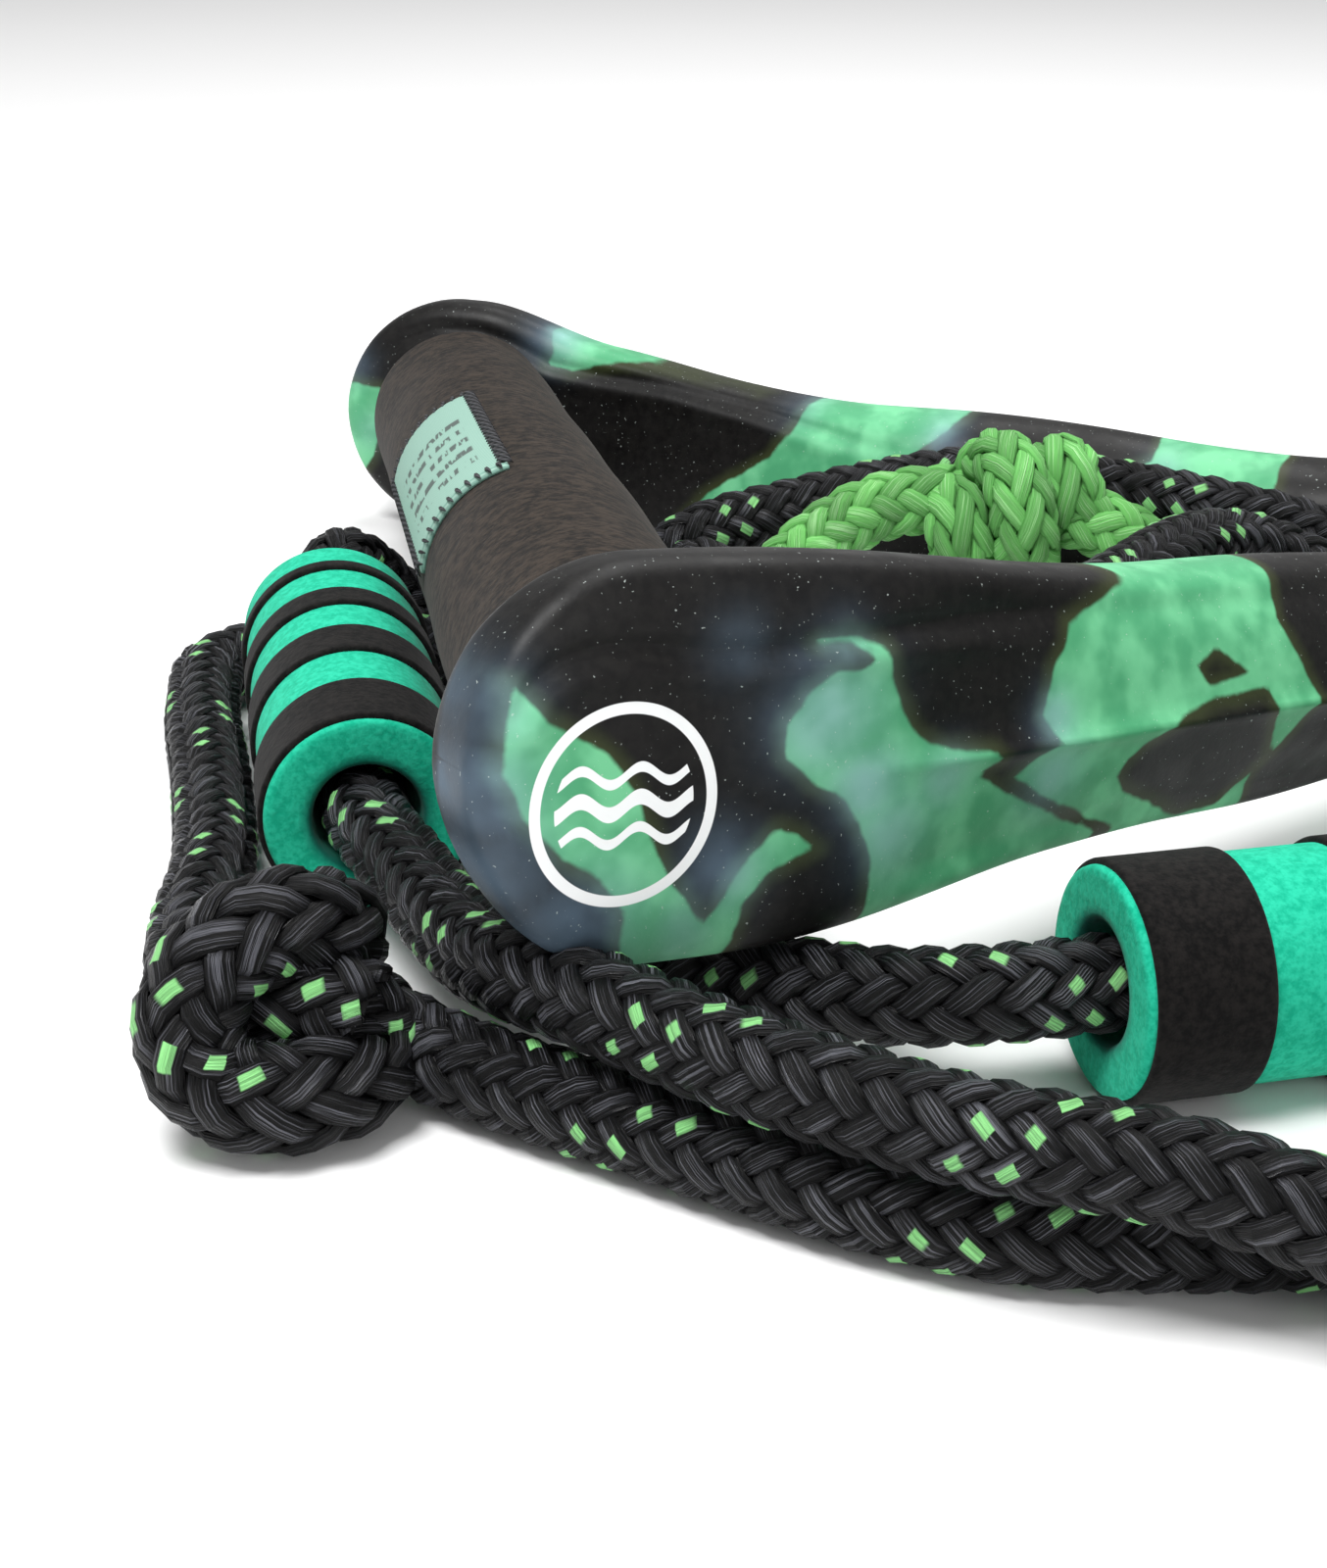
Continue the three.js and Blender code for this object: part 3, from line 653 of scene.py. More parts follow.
# Grey-blue haze: place in the same plane, size and strength.
NEAR_MIST = [
    (21, 4, 7, 0.75), (23, 11, 4, 0.5), (27, -5, 5, 0.8), (31, -11, 6, 0.6), (38, -5.2, 4, 0.55),
    (55, 1, 3.5, 0.75), (56, -6.5, 5, 0.6), (-8, -19, 7, 0.8), (9, -13, 5, 0.8), (5, -20, 4, 0.5),
    (10, 12, 4, 0.35), (-21, -3, 6, 0.9), (-18, -11, 6, 0.75), (-20, 7, 5, 0.55),
]
NEAR_CREASE = [
    (-17, 6.5), (-15.5, 9.3), (-12.5, 11.6), (-8, 12.8), (-3, 13), (3, 12.2), (11, 11.4), (20, 12),
    (31, 13), (45, 13.2), (62, 13),
]
NEAR_RIDGE = [(26, -3.3), (33, -3.1), (45, -2.7), (61, -2), (77, -1.3), (110, -0.5), (135, 0)]
FAR_MINT = [
    [(-24, 4), (-20, 5), (-14, 4.5), (-13.5, -3), (-15.5, -9), (-19, -14), (-26, -8)],
    [(18, 24), (20, 14), (19, 12), (24, 11.4), (33, 13.8), (42, 15), (54, 14.6), (62, 14.2), (66, 16),
     (62, 24)],
    [(76, 24), (75, 15), (72.5, 12.5), (71.5, 8), (68, 3), (62, -2), (56, -6), (50, -14), (72, -16),
     (79, -5), (88, 3.5), (96, 8), (99.5, 12), (103, 15.5), (104, 24)],
    [(139, 24), (138, 11), (134, 9), (139, 7), (143, 3), (150, -6), (165, -24), (178, -24), (160, 4),
     (163, 24)],
    [(188, 24), (183, 3), (192, -24), (203, -24), (199, -2), (206, 8), (203, 24)],
]
FAR_MIST = [
    (20, 17, 5, 0.8), (-20, 8, 4, 0.4), (100, 11, 4, 0.7), (72, 13, 4, 0.4), (-16, -4, 4, 0.3),
    (140, 9, 4, 0.5),
]
FAR_CREASE = [
    (-16, 9), (-11, 14), (-3, 17.2), (5, 17.4), (12, 15.5), (20, 12), (30, 11.4), (45, 12), (62, 11),
    (80, 9), (100, 7),
]
EMBLEM_AT = (-3.7, -4.6)
SECTION_POINTS = 132
TAIL_STEPS = 26
SEEN_SIDE = -1  # the side of both arms' sections that the photograph shows
# Where the rope goes in: rings by their distance past the end and their share of the last ring's size.
SLEEVE_END = [(0.5, 0.985), (0.9, 0.94), (1.0, 0.86), (0.8, 0.56), (-0.4, 0.46), (-5.0, 0.42)]
NO_MINT = -5.0


def even_section(power, height, thick):
    """A closed squared oval with evenly spaced points, from the top round by the positive side."""
    turn = np.linspace(0, 2 * math.pi, 721)
    c, s = np.cos(turn), np.sin(turn)
    up = np.sign(c) * np.abs(c) ** power
    out = np.sign(s) * np.abs(s) ** power
    line = np.stack([up * height, out * thick], 1)
    d = np.concatenate([[0], np.cumsum(np.hypot(*np.diff(line, axis=0).T))])
    even = np.linspace(0, d[-1], SECTION_POINTS, endpoint=False)
    return np.interp(even, d, up), np.interp(even, d, out)


def make_arm(name, cad_node, route, mint, dark, mist, crease, ridge, material, seed, top_trim=0.0, drop=0.0):
    line = resample(smooth_route(route), 1.1)
    tangent = unit(np.gradient(line, axis=0))
    tail = -PADDLE_R * np.sin(np.radians(np.linspace(89.4, 3, TAIL_STEPS)))
    along = np.concatenate([tail, arc(line)])
    spine = np.vstack([line[0] + tangent[0] * tail[:, None], line])
    tangent = np.vstack([np.repeat(tangent[:1], TAIL_STEPS, 0), tangent])
    side = unit(np.cross(PADDLE_UP, tangent))
    up = np.cross(tangent, side)
    height, thick = arm_halves(along)
    power = 0.55 + 0.45 * smoothstep(along, 30, 130)
    shares = [even_section(p, h, t) for p, h, t in zip(power, height, thick)]
    rise = np.array([u for u, _ in shares])
    out = np.array([o for _, o in shares])
    h = rise * height[:, None]
    w = out * thick[:, None]
    # The paddle hangs a little lower than it rises, and the far arm's top edge is trimmed behind the bar.
    lower = drop * (1 - smoothstep(along, 12, 62)) * smoothstep(along, -23, -6)
    trim = top_trim * smoothstep(along, 3, 30) * (1 - smoothstep(along, 45, 135))
    h = np.where(rise < 0, h + rise * lower[:, None], h - rise * trim[:, None])
    a = np.repeat(along[:, None], SECTION_POINTS, 1)
    spots = np.stack([a.ravel(), h.ravel()], 1)
    facing = smoothstep(out * SEEN_SIDE, 0.05, 0.75).ravel()

    d = distance_to_line(spots, crease)
    ends = smoothstep(spots[:, 0], crease[0][0] - 3, crease[0][0] + 3)
    ends *= 1 - smoothstep(spots[:, 0], crease[-1][0] - 30, crease[-1][0])
    relief = ends * (0.55 * np.exp(-(((d - 2.6) / 1.7) ** 2)) - 0.85 * np.exp(-((d / 1.2) ** 2)))
    if ridge:
        d = distance_to_line(spots, ridge)
        ends = smoothstep(spots[:, 0], 26, 44) * (1 - smoothstep(spots[:, 0], 110, 135))
        crest = np.where(d > 0, -0.15 * d, -0.1 * np.abs(d)) + 1.5 * np.exp(-np.abs(d) / 1.5)
        relief += ends * np.clip(crest, -2.2, 2)
    edge = 1 - smoothstep(np.abs(rise).ravel(), 0.7, 0.97)
    w = w + (relief * facing * edge).reshape(w.shape) * SEEN_SIDE

    points = spine[:, None] + side[:, None] * w[..., None] + up[:, None] * h[..., None]
    rings = [points.reshape(-1, 3)]
    for forward, scale in SLEEVE_END:
        rings.append(points[-1] * scale + spine[-1] * (1 - scale) + tangent[-1] * forward)
    rows = len(along) + len(SLEEVE_END)
    every = np.vstack(rings + [spine[0][None], (spine[-1] + tangent[-1] * SLEEVE_END[-1][0])[None]])
    faces = grid_faces(rows, SECTION_POINTS)[:, ::-1]
    count = rows * SECTION_POINTS
    ends = [fan(count, 0, SECTION_POINTS), fan(count + 1, count - SECTION_POINTS, SECTION_POINTS, -1)]

    painted = np.full(len(spots), -30.0)
    for pool in mint:
        painted = np.maximum(painted, inside_distance(spots, pool))
    for pool in dark:
        painted = np.minimum(painted, -inside_distance(spots, pool))
    flat = points.reshape(-1, 3)
    # The made-up marbling keeps the paddle's round end black, as the photograph shows its rim.
    wild = cloud(flat * np.array([0.035, 0.05, 0.05]), seed) * 22 - 1.5
    wild -= 12 * (1 - smoothstep(spots[:, 0], -14, 4))
    shade = smoothstep(out * SEEN_SIDE, -0.85, -0.45).ravel()
    signed = blend_to(wild, painted, shade)
    haze = np.zeros(len(spots))
    for at, high, size, strength in mist:
        reach = np.hypot(spots[:, 0] - at, spots[:, 1] - high) / size
        haze = np.maximum(haze, strength * np.exp(-reach * reach))
    unseen_haze = 0.5 * smoothstep(cloud(flat * 0.06, seed + 4), 0.1, 0.5)
    haze = np.maximum(haze * shade, unseen_haze * (1 - shade))
    extra = count - len(spots) + 2
    facts = {
        "mint": np.concatenate([signed, np.full(extra, NO_MINT)]),
        "mist": np.concatenate([haze, np.zeros(extra)]),
        "seen": np.concatenate([shade, np.zeros(extra)]),
    }
    for values in facts.values():
        values[count] = values[:SECTION_POINTS].mean()
    uv = np.vstack([spots * 0.01, np.zeros((extra, 2))])
    uv[count] = uv[:SECTION_POINTS].mean(0)
    seat(add_mesh(name, every, [faces] + ends, [material], uv, facts), "handle", "marbled_silicone", cad_node)


# ---- Silicone: black and mint run into each other, with grey-blue where one is thin over the other ----
def silicone_material(name, emblem_at=None):
    net = Net(name)
    wander = net.noise(150.0, 2.5)
    fine = net.noise(620.0, 2.0)
    shift = net.math("ADD", net.math("MULTIPLY_ADD", wander, 1.9, -0.95),
                     net.math("MULTIPLY_ADD", fine, 0.35, -0.17))
    level = net.math("ADD", net.fact("mint"), shift)
    black = net.mix(net.ramp(fine, 0.3, 0.7), srgb(13, 12, 12), srgb(22, 21, 20))
    stained = net.mix(net.ramp(level, -2.6, 0.1), black, srgb(48, 54, 30))
    mint = net.mix(net.ramp(wander, 0.35, 0.68), srgb(76, 158, 112), srgb(112, 194, 144))
    mixed = net.mix(net.ramp(level, -0.25, 0.45), stained, mint)
    cloudy = net.mix(net.ramp(level, -3.0, 2.5), srgb(84, 102, 118), srgb(134, 176, 176))
    patchy = net.ramp(wander, 0.2, 0.75, 0.6, 1.15)
    mixed = net.mix(net.math("MULTIPLY", net.fact("mist"), patchy, clamp=True), mixed, cloudy)
    dust = net.noise(2300.0, 1.0)
    mixed = net.mix(net.ramp(dust, 0.735, 0.78, 0.0, 0.5), mixed, srgb(190, 200, 195))
    if emblem_at:
        mixed = net.mix(emblem_mask(net, emblem_at), mixed, srgb(238, 240, 240))
    net.bump(net.noise(1300.0, 2.0), 0.12, 0.0002)
    return net.surface(mixed, net.ramp(wander, 0.3, 0.7, 0.4, 0.52), Specular_IOR_Level=0.2,
                       Subsurface_Weight=0.06, Subsurface_Radius=(0.002, 0.002, 0.002))


def emblem_mask(net, at):
    """A plain printed mark, a ring with three waves in it. at is its middle on the paddle."""
    across, up = net.split(net.uv())
    x = net.math("MULTIPLY_ADD", across, 100.0, -at[0])
    y = net.math("MULTIPLY_ADD", up, 100.0, -at[1])
    radius = net.math("SQRT", net.math("ADD", net.times(x, x), net.times(y, y)))
    off_ring = net.math("ABSOLUTE", net.math("SUBTRACT", radius, 11.0))
    mask = net.ramp(off_ring, 0.62, 0.72, 1.0, 0.0)
    swing = net.times(net.math("SINE", net.times(x, 0.85)), 0.9)
    inside = net.ramp(radius, 8.6, 8.7, 1.0, 0.0)
    for level, half in ((3.4, 0.55), (0.0, 0.85), (-3.4, 0.55)):
        off = net.math("SUBTRACT", net.math("SUBTRACT", y, level), swing)
        wave = net.ramp(net.math("ABSOLUTE", off), half, half + 0.1, 1.0, 0.0)
        mask = net.math("MAXIMUM", mask, net.times(wave, inside))
    return net.times(mask, net.ramp(net.fact("seen"), 0.5, 0.9))


make_arm("near_arm_moulded", "near_arm", NEAR_ARM, NEAR_MINT, NEAR_DARK, NEAR_MIST, NEAR_CREASE, NEAR_RIDGE,
         silicone_material("silicone_printed", EMBLEM_AT), seed=2, drop=3.0)
SILICONE = silicone_material("silicone")
make_arm("far_arm_moulded", "far_arm", FAR_ARM, FAR_MINT, [], FAR_MIST, FAR_CREASE, None, SILICONE, seed=5,
         top_trim=5.0)


# ---- Foam, webbing, metal and nylon ----
def foam_material(name, dark, light, grain, edge=None):
    """Closed-cell foam: fine pores, a soft mottle, and, where a point fact says so, the edge colour as
    painted shade in and round a float's bore.
    """
    net = Net(name)
    cells = net.noise(grain, 2.0, rough=0.7)
    mottle = net.noise(grain * 0.4, 3.0)
    both = net.math("MULTIPLY_ADD", mottle, 0.35, net.times(cells, 0.65))
    color = net.mix(net.ramp(both, 0.36, 0.64), dark, light)
    if edge:
        # Painted shade: the edge colour darkens the foam in and round a float's bore.
        color = net.mix(net.fact("bore_shade"), color, edge)
    net.bump(both, 0.5, 0.0004)
    return net.surface(color, 0.92, Specular_IOR_Level=0.1, Sheen_Weight=0.05, Sheen_Roughness=0.5)


def weave_material(name, dark, light, pitch):
    net = Net(name)
    threads = net.bands("DIAGONAL", 1.0 / pitch, net.object_place(), 0.6)
    net.bump(threads, 0.6, 0.0005)
    return net.surface(net.mix(threads, dark, light), 0.75)


def metal_material():
    net = Net("brushed_aluminium")
    brushed = net.noise(1.0, 2.0, net.stretched(net.object_place(), (900.0, 30.0, 900.0)))
    color = net.mix(brushed, srgb(168, 170, 174), srgb(205, 207, 210))
    return net.surface(color, net.ramp(brushed, 0.3, 0.7, 0.25, 0.45), Metallic=1.0)


def nylon_material():
    net = Net("moulded_nylon")
    grain = net.noise(1500.0)
    net.bump(grain, 0.2, 0.0001)
    return net.surface(net.mix(grain, srgb(20, 20, 20), srgb(38, 38, 38)), 0.5)


GRIP_FOAM = foam_material("grip_foam", srgb(14, 11, 9), srgb(50, 42, 35), 640.0)
# The mint foam's edge colour is painted shade for the floats' bores.
MINT_FOAM = foam_material("mint_foam", srgb(14, 160, 126), srgb(40, 186, 150), 1000.0, srgb(14, 92, 78))
BLACK_FOAM = foam_material("black_foam", srgb(9, 9, 9), srgb(27, 25, 24), 900.0)
WEBBING = weave_material("webbing", srgb(14, 14, 15), srgb(44, 44, 47), 0.004)
THREAD = weave_material("thread", srgb(20, 20, 22), srgb(62, 62, 66), 0.002)
LIME_THREAD = weave_material("lime_thread", srgb(96, 180, 88), srgb(150, 226, 138), 0.002)
NYLON = nylon_material()

for node_name, made in (("bar_tube", metal_material()), ("near_bar_plug", NYLON), ("far_bar_plug", NYLON)):
    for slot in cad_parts[node_name].material_slots:
        slot.material = made


# ---- Grip and its label ----
def axes_about(direction):
    """Two directions square to an axis, the second one level."""
    level = unit(np.cross(UP, direction))
    return np.cross(direction, level), level


def turned(name, origin, direction, profile, materials, segments=120, wobble=None, **look):
    """A hollow shape turned about an axis, from a closed outline of (distance along, radius) points."""
    first, second = axes_about(direction)
    turn = np.linspace(0, 2 * math.pi, segments, endpoint=False)
    ring = np.cos(turn)[:, None] * first + np.sin(turn)[:, None] * second
    profile = np.asarray(profile, float)
    radius = np.repeat(profile[:, 1:2], segments, 1)
    if wobble is not None:
        radius = radius + wobble(profile[:, :1], turn[None])
    rings = origin + direction * profile[:, 0][:, None, None] + ring[None] * radius[..., None]
    return loft(name, rings[:, ::-1], materials, closed=True, **look)


GRIP_R = 17.0


def grip_wobble(along, turn):
    return 0.12 * np.sin(along / 9 + 2 * np.sin(turn)) + 0.1 * np.sin(along / 23 + 3 * turn)


grip_ends = [(0.6, 11.4), (0.6, 15.6), (0.75, 16.3), (1.2, 16.8), (2.0, 17.0)]
grip_profile = grip_ends + [(x, GRIP_R) for x in np.arange(4, BAR_LENGTH - 3, 2.0)]
grip_profile += [(BAR_LENGTH - x, r) for x, r in reversed(grip_ends)]
grip = turned("grip_foam_sleeve", BAR_NEAR, BAR_AXIS, grip_profile, [GRIP_FOAM], wobble=grip_wobble)
seat(grip, "handle", "grip_foam", "grip_sleeve")

LABEL_FROM = 80.0
LABEL_TO = 148.0
LABEL_ARC = np.radians([106.0, 174.0])
LABEL_R = 17.35


def label_point(along, turn, radius):
    """turn is measured from +X up and over the grip."""
    around = np.cos(turn)[..., None] * X + np.sin(turn)[..., None] * PADDLE_UP
    return BAR_NEAR + BAR_AXIS * along[..., None] + around * np.asarray(radius)[..., None]


def label_material():
    net = Net("woven_label")
    place = net.uv()
    u, v = net.split(place)
    threads = net.bands("X", 22.0, place)
    cloth = net.mix(threads, srgb(112, 152, 138), srgb(146, 180, 166))
    # Five rows of woven dashes, too broken to be letters.
    row = net.math("FRACT", net.times(u, 8.0))
    in_row = net.ramp(net.math("ABSOLUTE", net.math("SUBTRACT", row, 0.5)), 0.17, 0.26, 1.0, 0.0)
    dashes = net.ramp(net.noise(1.0, 1.0, net.stretched(place, (8.0, 26.0, 1.0))), 0.46, 0.52)
    ink = net.times(in_row, dashes)
    for value, low, high, soft in ((v, 0.16, 0.82, 0.02), (u, 0.12, 0.74, 0.01)):
        ink = net.times(ink, net.ramp(value, low, low + soft))
        ink = net.times(ink, net.ramp(value, high, high + soft, 1.0, 0.0))
    net.bump(threads, 0.3, 0.0002)
    return net.surface(net.mix(ink, cloth, srgb(72, 84, 80)), 0.8)


def make_label():
    rows, columns = 60, 44
    s, t = np.meshgrid(np.linspace(0, 1, rows), np.linspace(0, 1, columns), indexing="ij")
    along = LABEL_FROM + (LABEL_TO - LABEL_FROM) * s
    turn = LABEL_ARC[0] + (LABEL_ARC[1] - LABEL_ARC[0]) * t
    from_edge = np.minimum(np.minimum(s, 1 - s) * (LABEL_TO - LABEL_FROM), np.minimum(t, 1 - t) * 20.0)
    height = 0.12 + 0.4 * np.sqrt(np.clip(from_edge / 0.9, 0, 1))
    top = label_point(along, turn, LABEL_R + height)
    base = label_point(along, turn, np.full_like(along, LABEL_R - 0.4))
    count = rows * columns
    upper = grid_faces(rows, columns, False)
    lower = grid_faces(rows, columns, False, count)[:, ::-1]
    edge = np.concatenate([np.arange(columns), np.arange(2, rows) * columns - 1,
                           count - 1 - np.arange(columns), (np.arange(rows - 2, 0, -1)) * columns])
    nxt = np.roll(edge, -1)
    walls = np.stack([edge, edge + count, nxt + count, nxt], 1)
    uv = np.stack([s.ravel(), t.ravel()], 1)
    label = add_mesh("grip_label_woven", np.vstack([top.reshape(-1, 3), base.reshape(-1, 3)]),
                     np.vstack([upper, lower, walls])[:, ::-1], [label_material()], np.vstack([uv, uv]))
    seat(label, "handle", "woven_label", "grip_label")


def make_stitches():
    """Short bent bars of thread along the label's two straight ends and two long edges."""
    bars = []
    for at in np.arange(LABEL_FROM + 1.2, LABEL_TO - 0.5, 2.1):
        for turn, way in ((LABEL_ARC[0], 1), (LABEL_ARC[1], -1)):
            bars.append((at, turn - way * 0.045, at + 0.7, turn + way * 0.09))
    for turn in np.arange(LABEL_ARC[0] + 0.06, LABEL_ARC[1], 0.095):
        for at, way in ((LABEL_FROM, 1), (LABEL_TO, -1)):
            bars.append((at - way * 0.8, turn, at + way * 1.9, turn + 0.03))
    points, faces, caps = [], [], []
    count = 0
    around = np.linspace(0, 2 * math.pi, 6, endpoint=False)
    for a0, t0, a1, t1 in bars:
        share = np.linspace(0, 1, 6)
        lift = 0.12 + 0.62 * np.sin(math.pi * share) ** 0.6
        line = label_point(a0 + (a1 - a0) * share, t0 + (t1 - t0) * share, LABEL_R + lift)
        _, n, b = frames(line)
        for i, thick in enumerate((0.05, 0.26, 0.3, 0.3, 0.26, 0.05)):
            ring = n[i] * np.cos(around)[:, None] + b[i] * np.sin(around)[:, None]
            points.append(line[i] + thick * ring)
        faces.append(grid_faces(6, 6, True, count))
        caps += [count + np.arange(6)[::-1], count + 30 + np.arange(6)]
        count += 36
    sets = [np.vstack(faces), np.array(caps)]
    seat(add_mesh("grip_label_stitches", np.vstack(points), sets, [THREAD]), "handle", "woven_label")


make_label()
make_stitches()

# ---- Floats: mint foam with black skin bands ----
FLOAT_R = 14.5
FLOAT_LENGTH = 80.0
GROOVE = 0.75
SKIN_BANDS = [(0.9, 14.6), (28.5, 10.5), (50, 7), (67.5, 3.2)]  # start and width
FLOAT_SEGMENTS = 96


def float_core(prefix, origin, direction):
    core_r = FLOAT_R - GROOVE
    profile, bore_shade = [], []
    # From the bore round the end to the outside: distance along, radius, and how dark the painted shade in
    # and round the bore makes it.
    face = [(4, 7.2, 0.6), (1.2, 7.25, 1), (0.35, 7.6, 1), (0.05, 8.2, 0.55), (0, 9.2, 0.12), (0, 10.5, 0),
            (0, 12.5, 0), (0.08, 13.2, 0), (0.35, core_r - 0.1, 0), (0.8, core_r, 0)]
    for at, r, shade_amount in face:
        profile.append((at, r))
        bore_shade.append(shade_amount)
    for at in np.arange(2, FLOAT_LENGTH - 1.5, 1.5):
        profile.append((at, core_r))
        bore_shade.append(0)
    for at, r, shade_amount in reversed(face):
        profile.append((FLOAT_LENGTH - at, r))
        bore_shade.append(shade_amount)
    facts = {"bore_shade": np.repeat(bore_shade, FLOAT_SEGMENTS)}
    core = turned(prefix + "_foam", origin, direction, profile, [MINT_FOAM], FLOAT_SEGMENTS, facts=facts)
    seat(core, prefix, "float_mint", prefix + "_core")


def float_band(prefix, number, origin, direction, start, width):
    inner = FLOAT_R - GROOVE - 0.5
    edge = [(0.1, inner), (0, FLOAT_R - 0.35), (0.18, FLOAT_R - 0.1), (0.5, FLOAT_R)]
    profile = [(start + at, r) for at, r in edge]
    profile += [(start + at, FLOAT_R) for at in np.arange(1.2, width - 0.9, 1.0)]
    profile += [(start + width - at, r) for at, r in reversed(edge)]
    band = turned(f"{prefix}_skin_{number}", origin, direction, profile, [BLACK_FOAM], FLOAT_SEGMENTS)
    seat(band, prefix, "float_black", f"{prefix}_band_{number}")


for prefix, near_end, far_end in (("left_float", (-27, -65, 14.5), (-29, 14.5, 14.5)),
                                  ("right_float", (54.5, -125, 14.5), (134, -115.2, 14.5))):
    origin = np.array(near_end, float)
    direction = unit(np.array(far_end) - origin)
    float_core(prefix, origin, direction)
    for number, (start, width) in enumerate(SKIN_BANDS, 1):
        float_band(prefix, number, origin, direction, start, width)


# ---- Sleeves, eyes, bridle and strap ----
def stadium(half_width, radius, count=64):
    """A closed outline of two half rounds joined by straight sides, long side along the first axis."""
    straight, bend = 2 * half_width, math.pi * radius
    out = []
    for s in np.linspace(0, 2 * (straight + bend), count, endpoint=False):
        flip = 1 if s < straight + bend else -1
        s = s % (straight + bend)
        if s < straight:
            out.append((flip * (half_width - s), flip * radius))
        else:
            turn = math.pi / 2 + (s - straight) / radius
            out.append((flip * (-half_width + radius * math.cos(turn)), flip * radius * math.sin(turn)))
    return np.array(out)


def sleeve(name, origin, forward, wide, half_width, radius, profile, material):
    """A stadium-shaped sleeve. profile holds (distance along, change of radius) points."""
    tall = np.cross(forward, wide)
    rings = []
    for at, swell in profile:
        outline = stadium(half_width, radius + swell)
        rings.append(origin + forward * at + outline[:, :1] * wide + outline[:, 1:] * tall)
    return loft(name, rings, [material])


def whipped(length, depth, pitch):
    """Turns of thread side by side, with rounded ends."""
    profile = []
    for at in np.arange(0, length + 0.01, pitch / 6):
        edge = min(at, length - at)
        round_off = -1.2 * (1 - math.sqrt(min(max(edge / 1.2, 0), 1)))
        profile.append((float(at), -depth + depth * abs(math.sin(math.pi * at / pitch)) + round_off))
    return profile


YOKE_LENGTH = 26
YOKE_END = [(0, -4.5), (0.05, -1.4), (0.4, -0.6), (1.2, 0)]


def yoke_swell(at):
    """The yoke bulges a little, with shallow grooves round its middle."""
    bulge = 0.5 * math.sin(math.pi * (at - 1.2) / 23.6)
    groove = 0.55 * math.exp(-(((((at - 13) % 4.2) - 2.1) / 0.55) ** 2))
    return bulge - groove if 4 < at < 22 else bulge


def paint_marble(piece, seed):
    """Gives a silicone piece its marble facts from a smooth random field."""
    mesh = piece.data
    spots = np.empty(len(mesh.vertices) * 3, np.float32)
    mesh.vertices.foreach_get("co", spots)
    spots = spots.reshape(-1, 3) / MM
    facts = {
        "mint": np.clip(cloud(spots * 0.05, seed) * 22, -9, 9),
        "mist": np.clip(cloud(spots * 0.07, seed + 3), 0, 0.6),
        "seen": np.zeros(len(spots)),
    }
    for key, values in facts.items():
        attribute = mesh.attributes.new(key, "FLOAT", "POINT")
        attribute.data.foreach_set("value", values.astype(np.float32))


yoke_profile = YOKE_END + [(at, yoke_swell(at)) for at in np.arange(1.8, 24.5, 0.35)]
yoke_profile += [(YOKE_LENGTH - at, swell) for at, swell in reversed(YOKE_END)]
yoke = sleeve("yoke_moulded", np.array([223.0, 0, 25]), X, Y, 9, 11, yoke_profile, SILICONE)
seat(yoke, "handle", "marbled_silicone", "yoke_sleeve")
paint_marble(yoke, 8)

WHIPPING = whipped(26, 0.45, 1.3)
lime_sleeve = sleeve("lime_eye_whipping", np.array([310.8, 0, 24.8]), X, UP, 6.5, 7.2, WHIPPING, LIME_THREAD)
seat(lime_sleeve, "rope", "lime_rope", "lime_eye_sleeve")

TOW_END = np.array([122.4, -197.6, 7.5])
TOW_HEADING = unit(np.array([0.972, -0.235, 0]))
TOW_SIDE = np.cross(UP, TOW_HEADING)
tow_sleeve = sleeve("tow_eye_whipping", TOW_END, TOW_HEADING, TOW_SIDE, 6.5, 7.2, WHIPPING, THREAD)
seat(tow_sleeve, "rope", "strap", "tow_eye_sleeve")
# Half of the loop: distance past TOW_END and distance from its middle line.
TOW_LOOP = [(20, 6.5), (27.6, 6.5), (33, 7.5), (41, 13), (51, 19), (64, 19), (74, 11)]
TOW_DROP = 1.4
tow_outline = TOW_LOOP + [(77, 0)] + [(x, -y) for x, y in reversed(TOW_LOOP)]
tow_line = [TOW_END + TOW_HEADING * x + TOW_SIDE * y - UP * TOW_DROP for x, y in tow_outline]
rope_piece("tow_eye_braid", smooth_route(tow_line), BLACK_ROPE, "tow_eye", tracers=BLACK_TRACERS)

BRIDLE_Z = 25
BRIDLE_HALF = [
    (188, 19.6), (194, 18), (206, 14.8), (216, 12.4), (224, 9.6), (236, 7), (247, 6.6), (256, 9.6),
    (265, 12.5), (274, 10.6), (279.6, 5.6),
]
bridle_outline = [(x, -y) for x, y in BRIDLE_HALF] + [(281, 0)] + BRIDLE_HALF[::-1]
bridle_line = [(x, y, BRIDLE_Z) for x, y in bridle_outline]
rope_piece("bridle_braid", smooth_route(bridle_line), BLACK_ROPE, "bridle_rope", body="handle", radius=4.3,
           step=1.2)


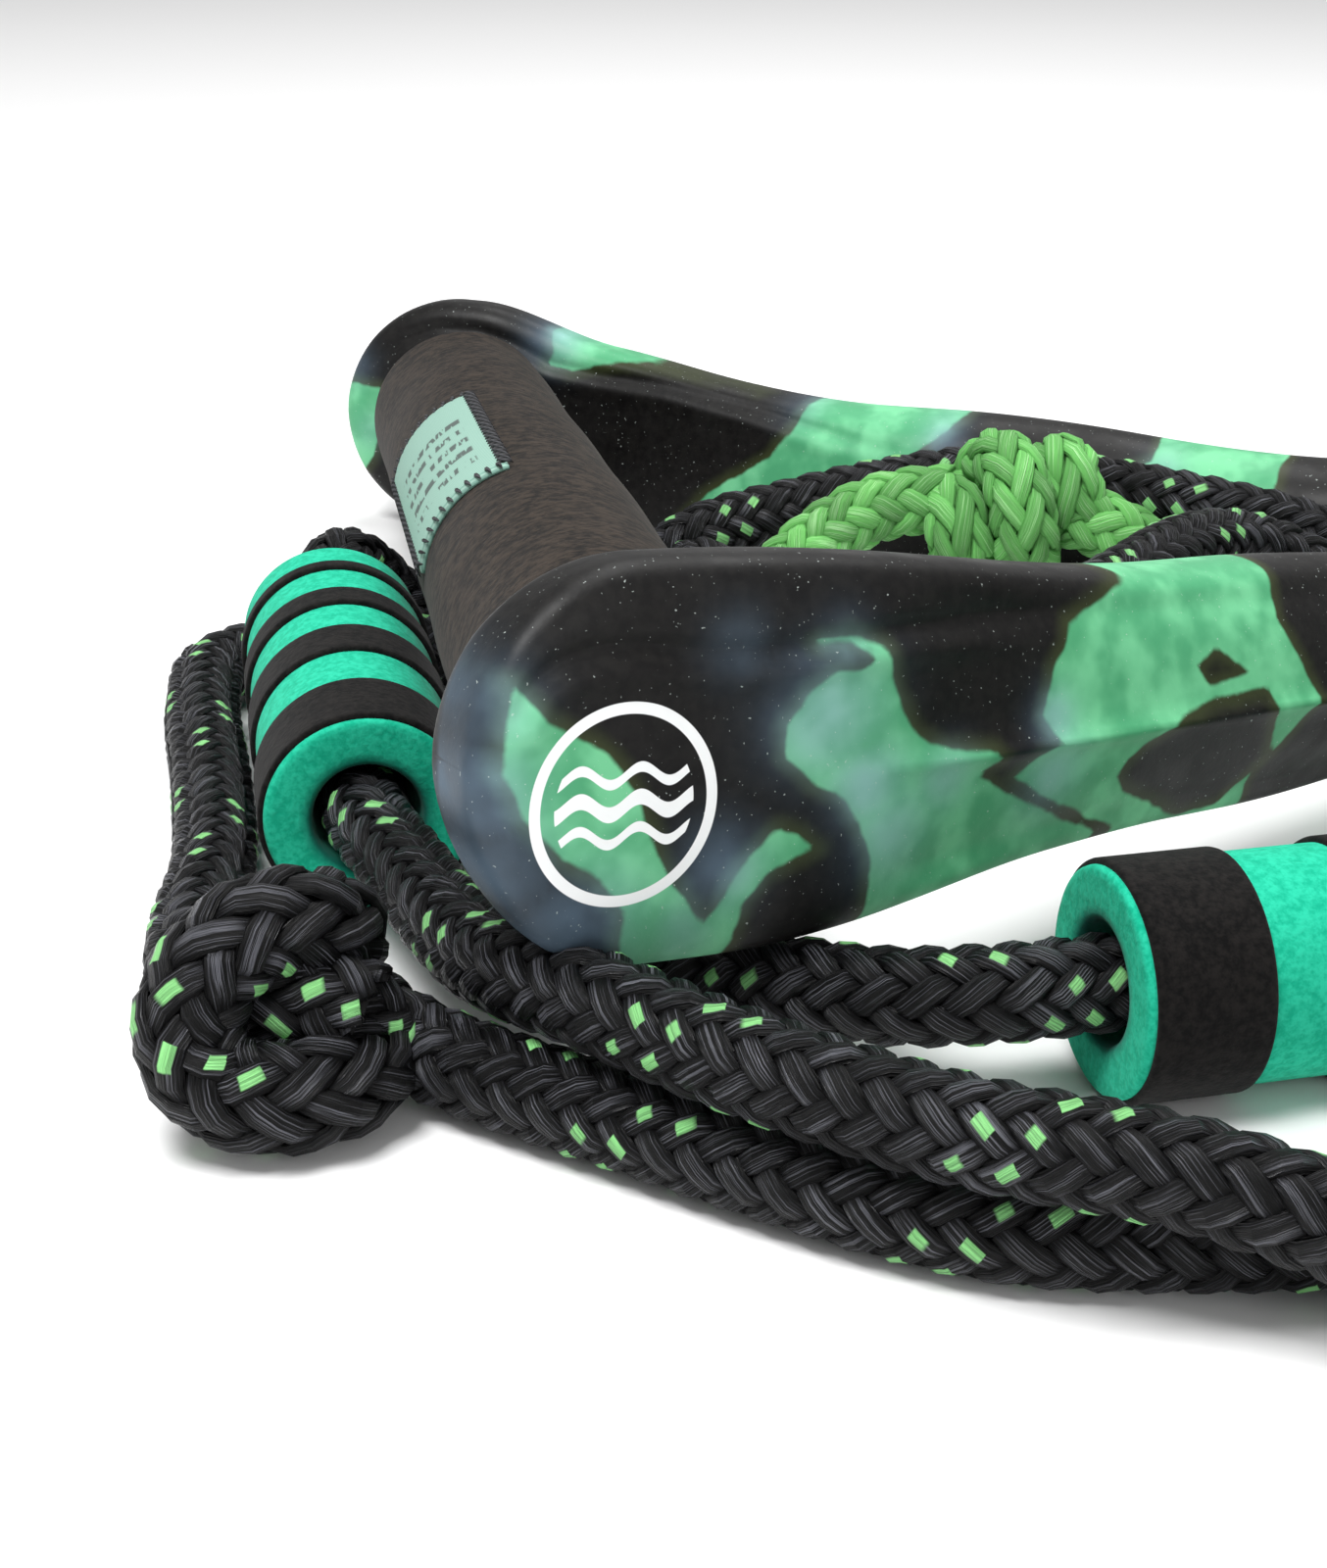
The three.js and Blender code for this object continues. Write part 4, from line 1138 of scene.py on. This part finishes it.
def strap_loop():
    """Hook-and-loop webbing round the coil, with its free end lapped on top."""
    half_in, top, bottom, bend = 19.7, 39.0, 0.9, 5.0
    half_thick, half_wide = 0.7, 10.0
    middle = np.array([334.8, -150.0])
    path = []
    for cx, cz, first in ((half_in - bend, top - bend, 90), (half_in - bend, bottom + bend, 0),
                          (-half_in + bend, bottom + bend, -90), (-half_in + bend, top - bend, -180)):
        for turn in np.radians(np.linspace(first, first - 90, 10)):
            path.append((cx + bend * math.cos(turn), cz + bend * math.sin(turn)))
    path = np.array(path + [(0, top), (9, top + 0.8), (half_in - bend, top + 1.5)])
    tangent = unit(np.gradient(path, axis=0))
    normal = np.stack([-tangent[:, 1], tangent[:, 0]], 1)
    half = [(-half_wide, 0.0), (-half_wide + 0.4, half_thick), (0, half_thick), (half_wide - 0.4, half_thick)]
    section = half + [(-w, -o) for w, o in half]
    rings = []
    for (x, z), (nx, nz) in zip(path, normal):
        rings.append([(middle[0] + x + nx * o, middle[1] + w, z + nz * o) for w, o in section])
    strap = loft("coil_strap_webbing", np.array(rings)[:, ::-1], [WEBBING])
    seat(strap, "rope", "strap", "coil_tie")


strap_loop()


# ---- Stage ----
FLOOR_HALF = 3.0


def add_floor():
    corners = [(-FLOOR_HALF, -FLOOR_HALF, 0), (FLOOR_HALF, -FLOOR_HALF, 0), (FLOOR_HALF, FLOOR_HALF, 0),
               (-FLOOR_HALF, FLOOR_HALF, 0)]
    mesh = bpy.data.meshes.new("floor")
    mesh.from_pydata(corners, [], [(0, 1, 2, 3)])
    floor = bpy.data.objects.new("floor", mesh)
    bpy.context.scene.collection.objects.link(floor)
    mesh.materials.append(Net("floor").surface((0.86, 0.86, 0.86), 0.9))


def add_light(name, place, target, size, power):
    data = bpy.data.lights.new(name, "AREA")
    data.size = size
    data.energy = power
    light = bpy.data.objects.new(name, data)
    light.location = place
    light.rotation_euler = (Vector(target) - Vector(place)).to_track_quat("-Z", "Y").to_euler()
    bpy.context.scene.collection.objects.link(light)


add_floor()
add_light("key", (-0.4, -0.35, 0.85), (-0.1, 0, 0), 0.35, 9)
add_light("top", (0.2, 0.4, 1.1), (-0.05, 0, 0), 0.8, 9)
add_light("front", (0.3, -1.1, 0.5), (-0.1, 0, 0.02), 0.5, 2.5)
world = bpy.data.worlds.new("world")
world.use_nodes = True
background = world.node_tree.nodes["Background"]
background.inputs["Color"].default_value = (1, 1, 1, 1)
background.inputs["Strength"].default_value = 0.5
bpy.context.scene.world = world
bpy.context.scene.view_settings.view_transform = "Standard"
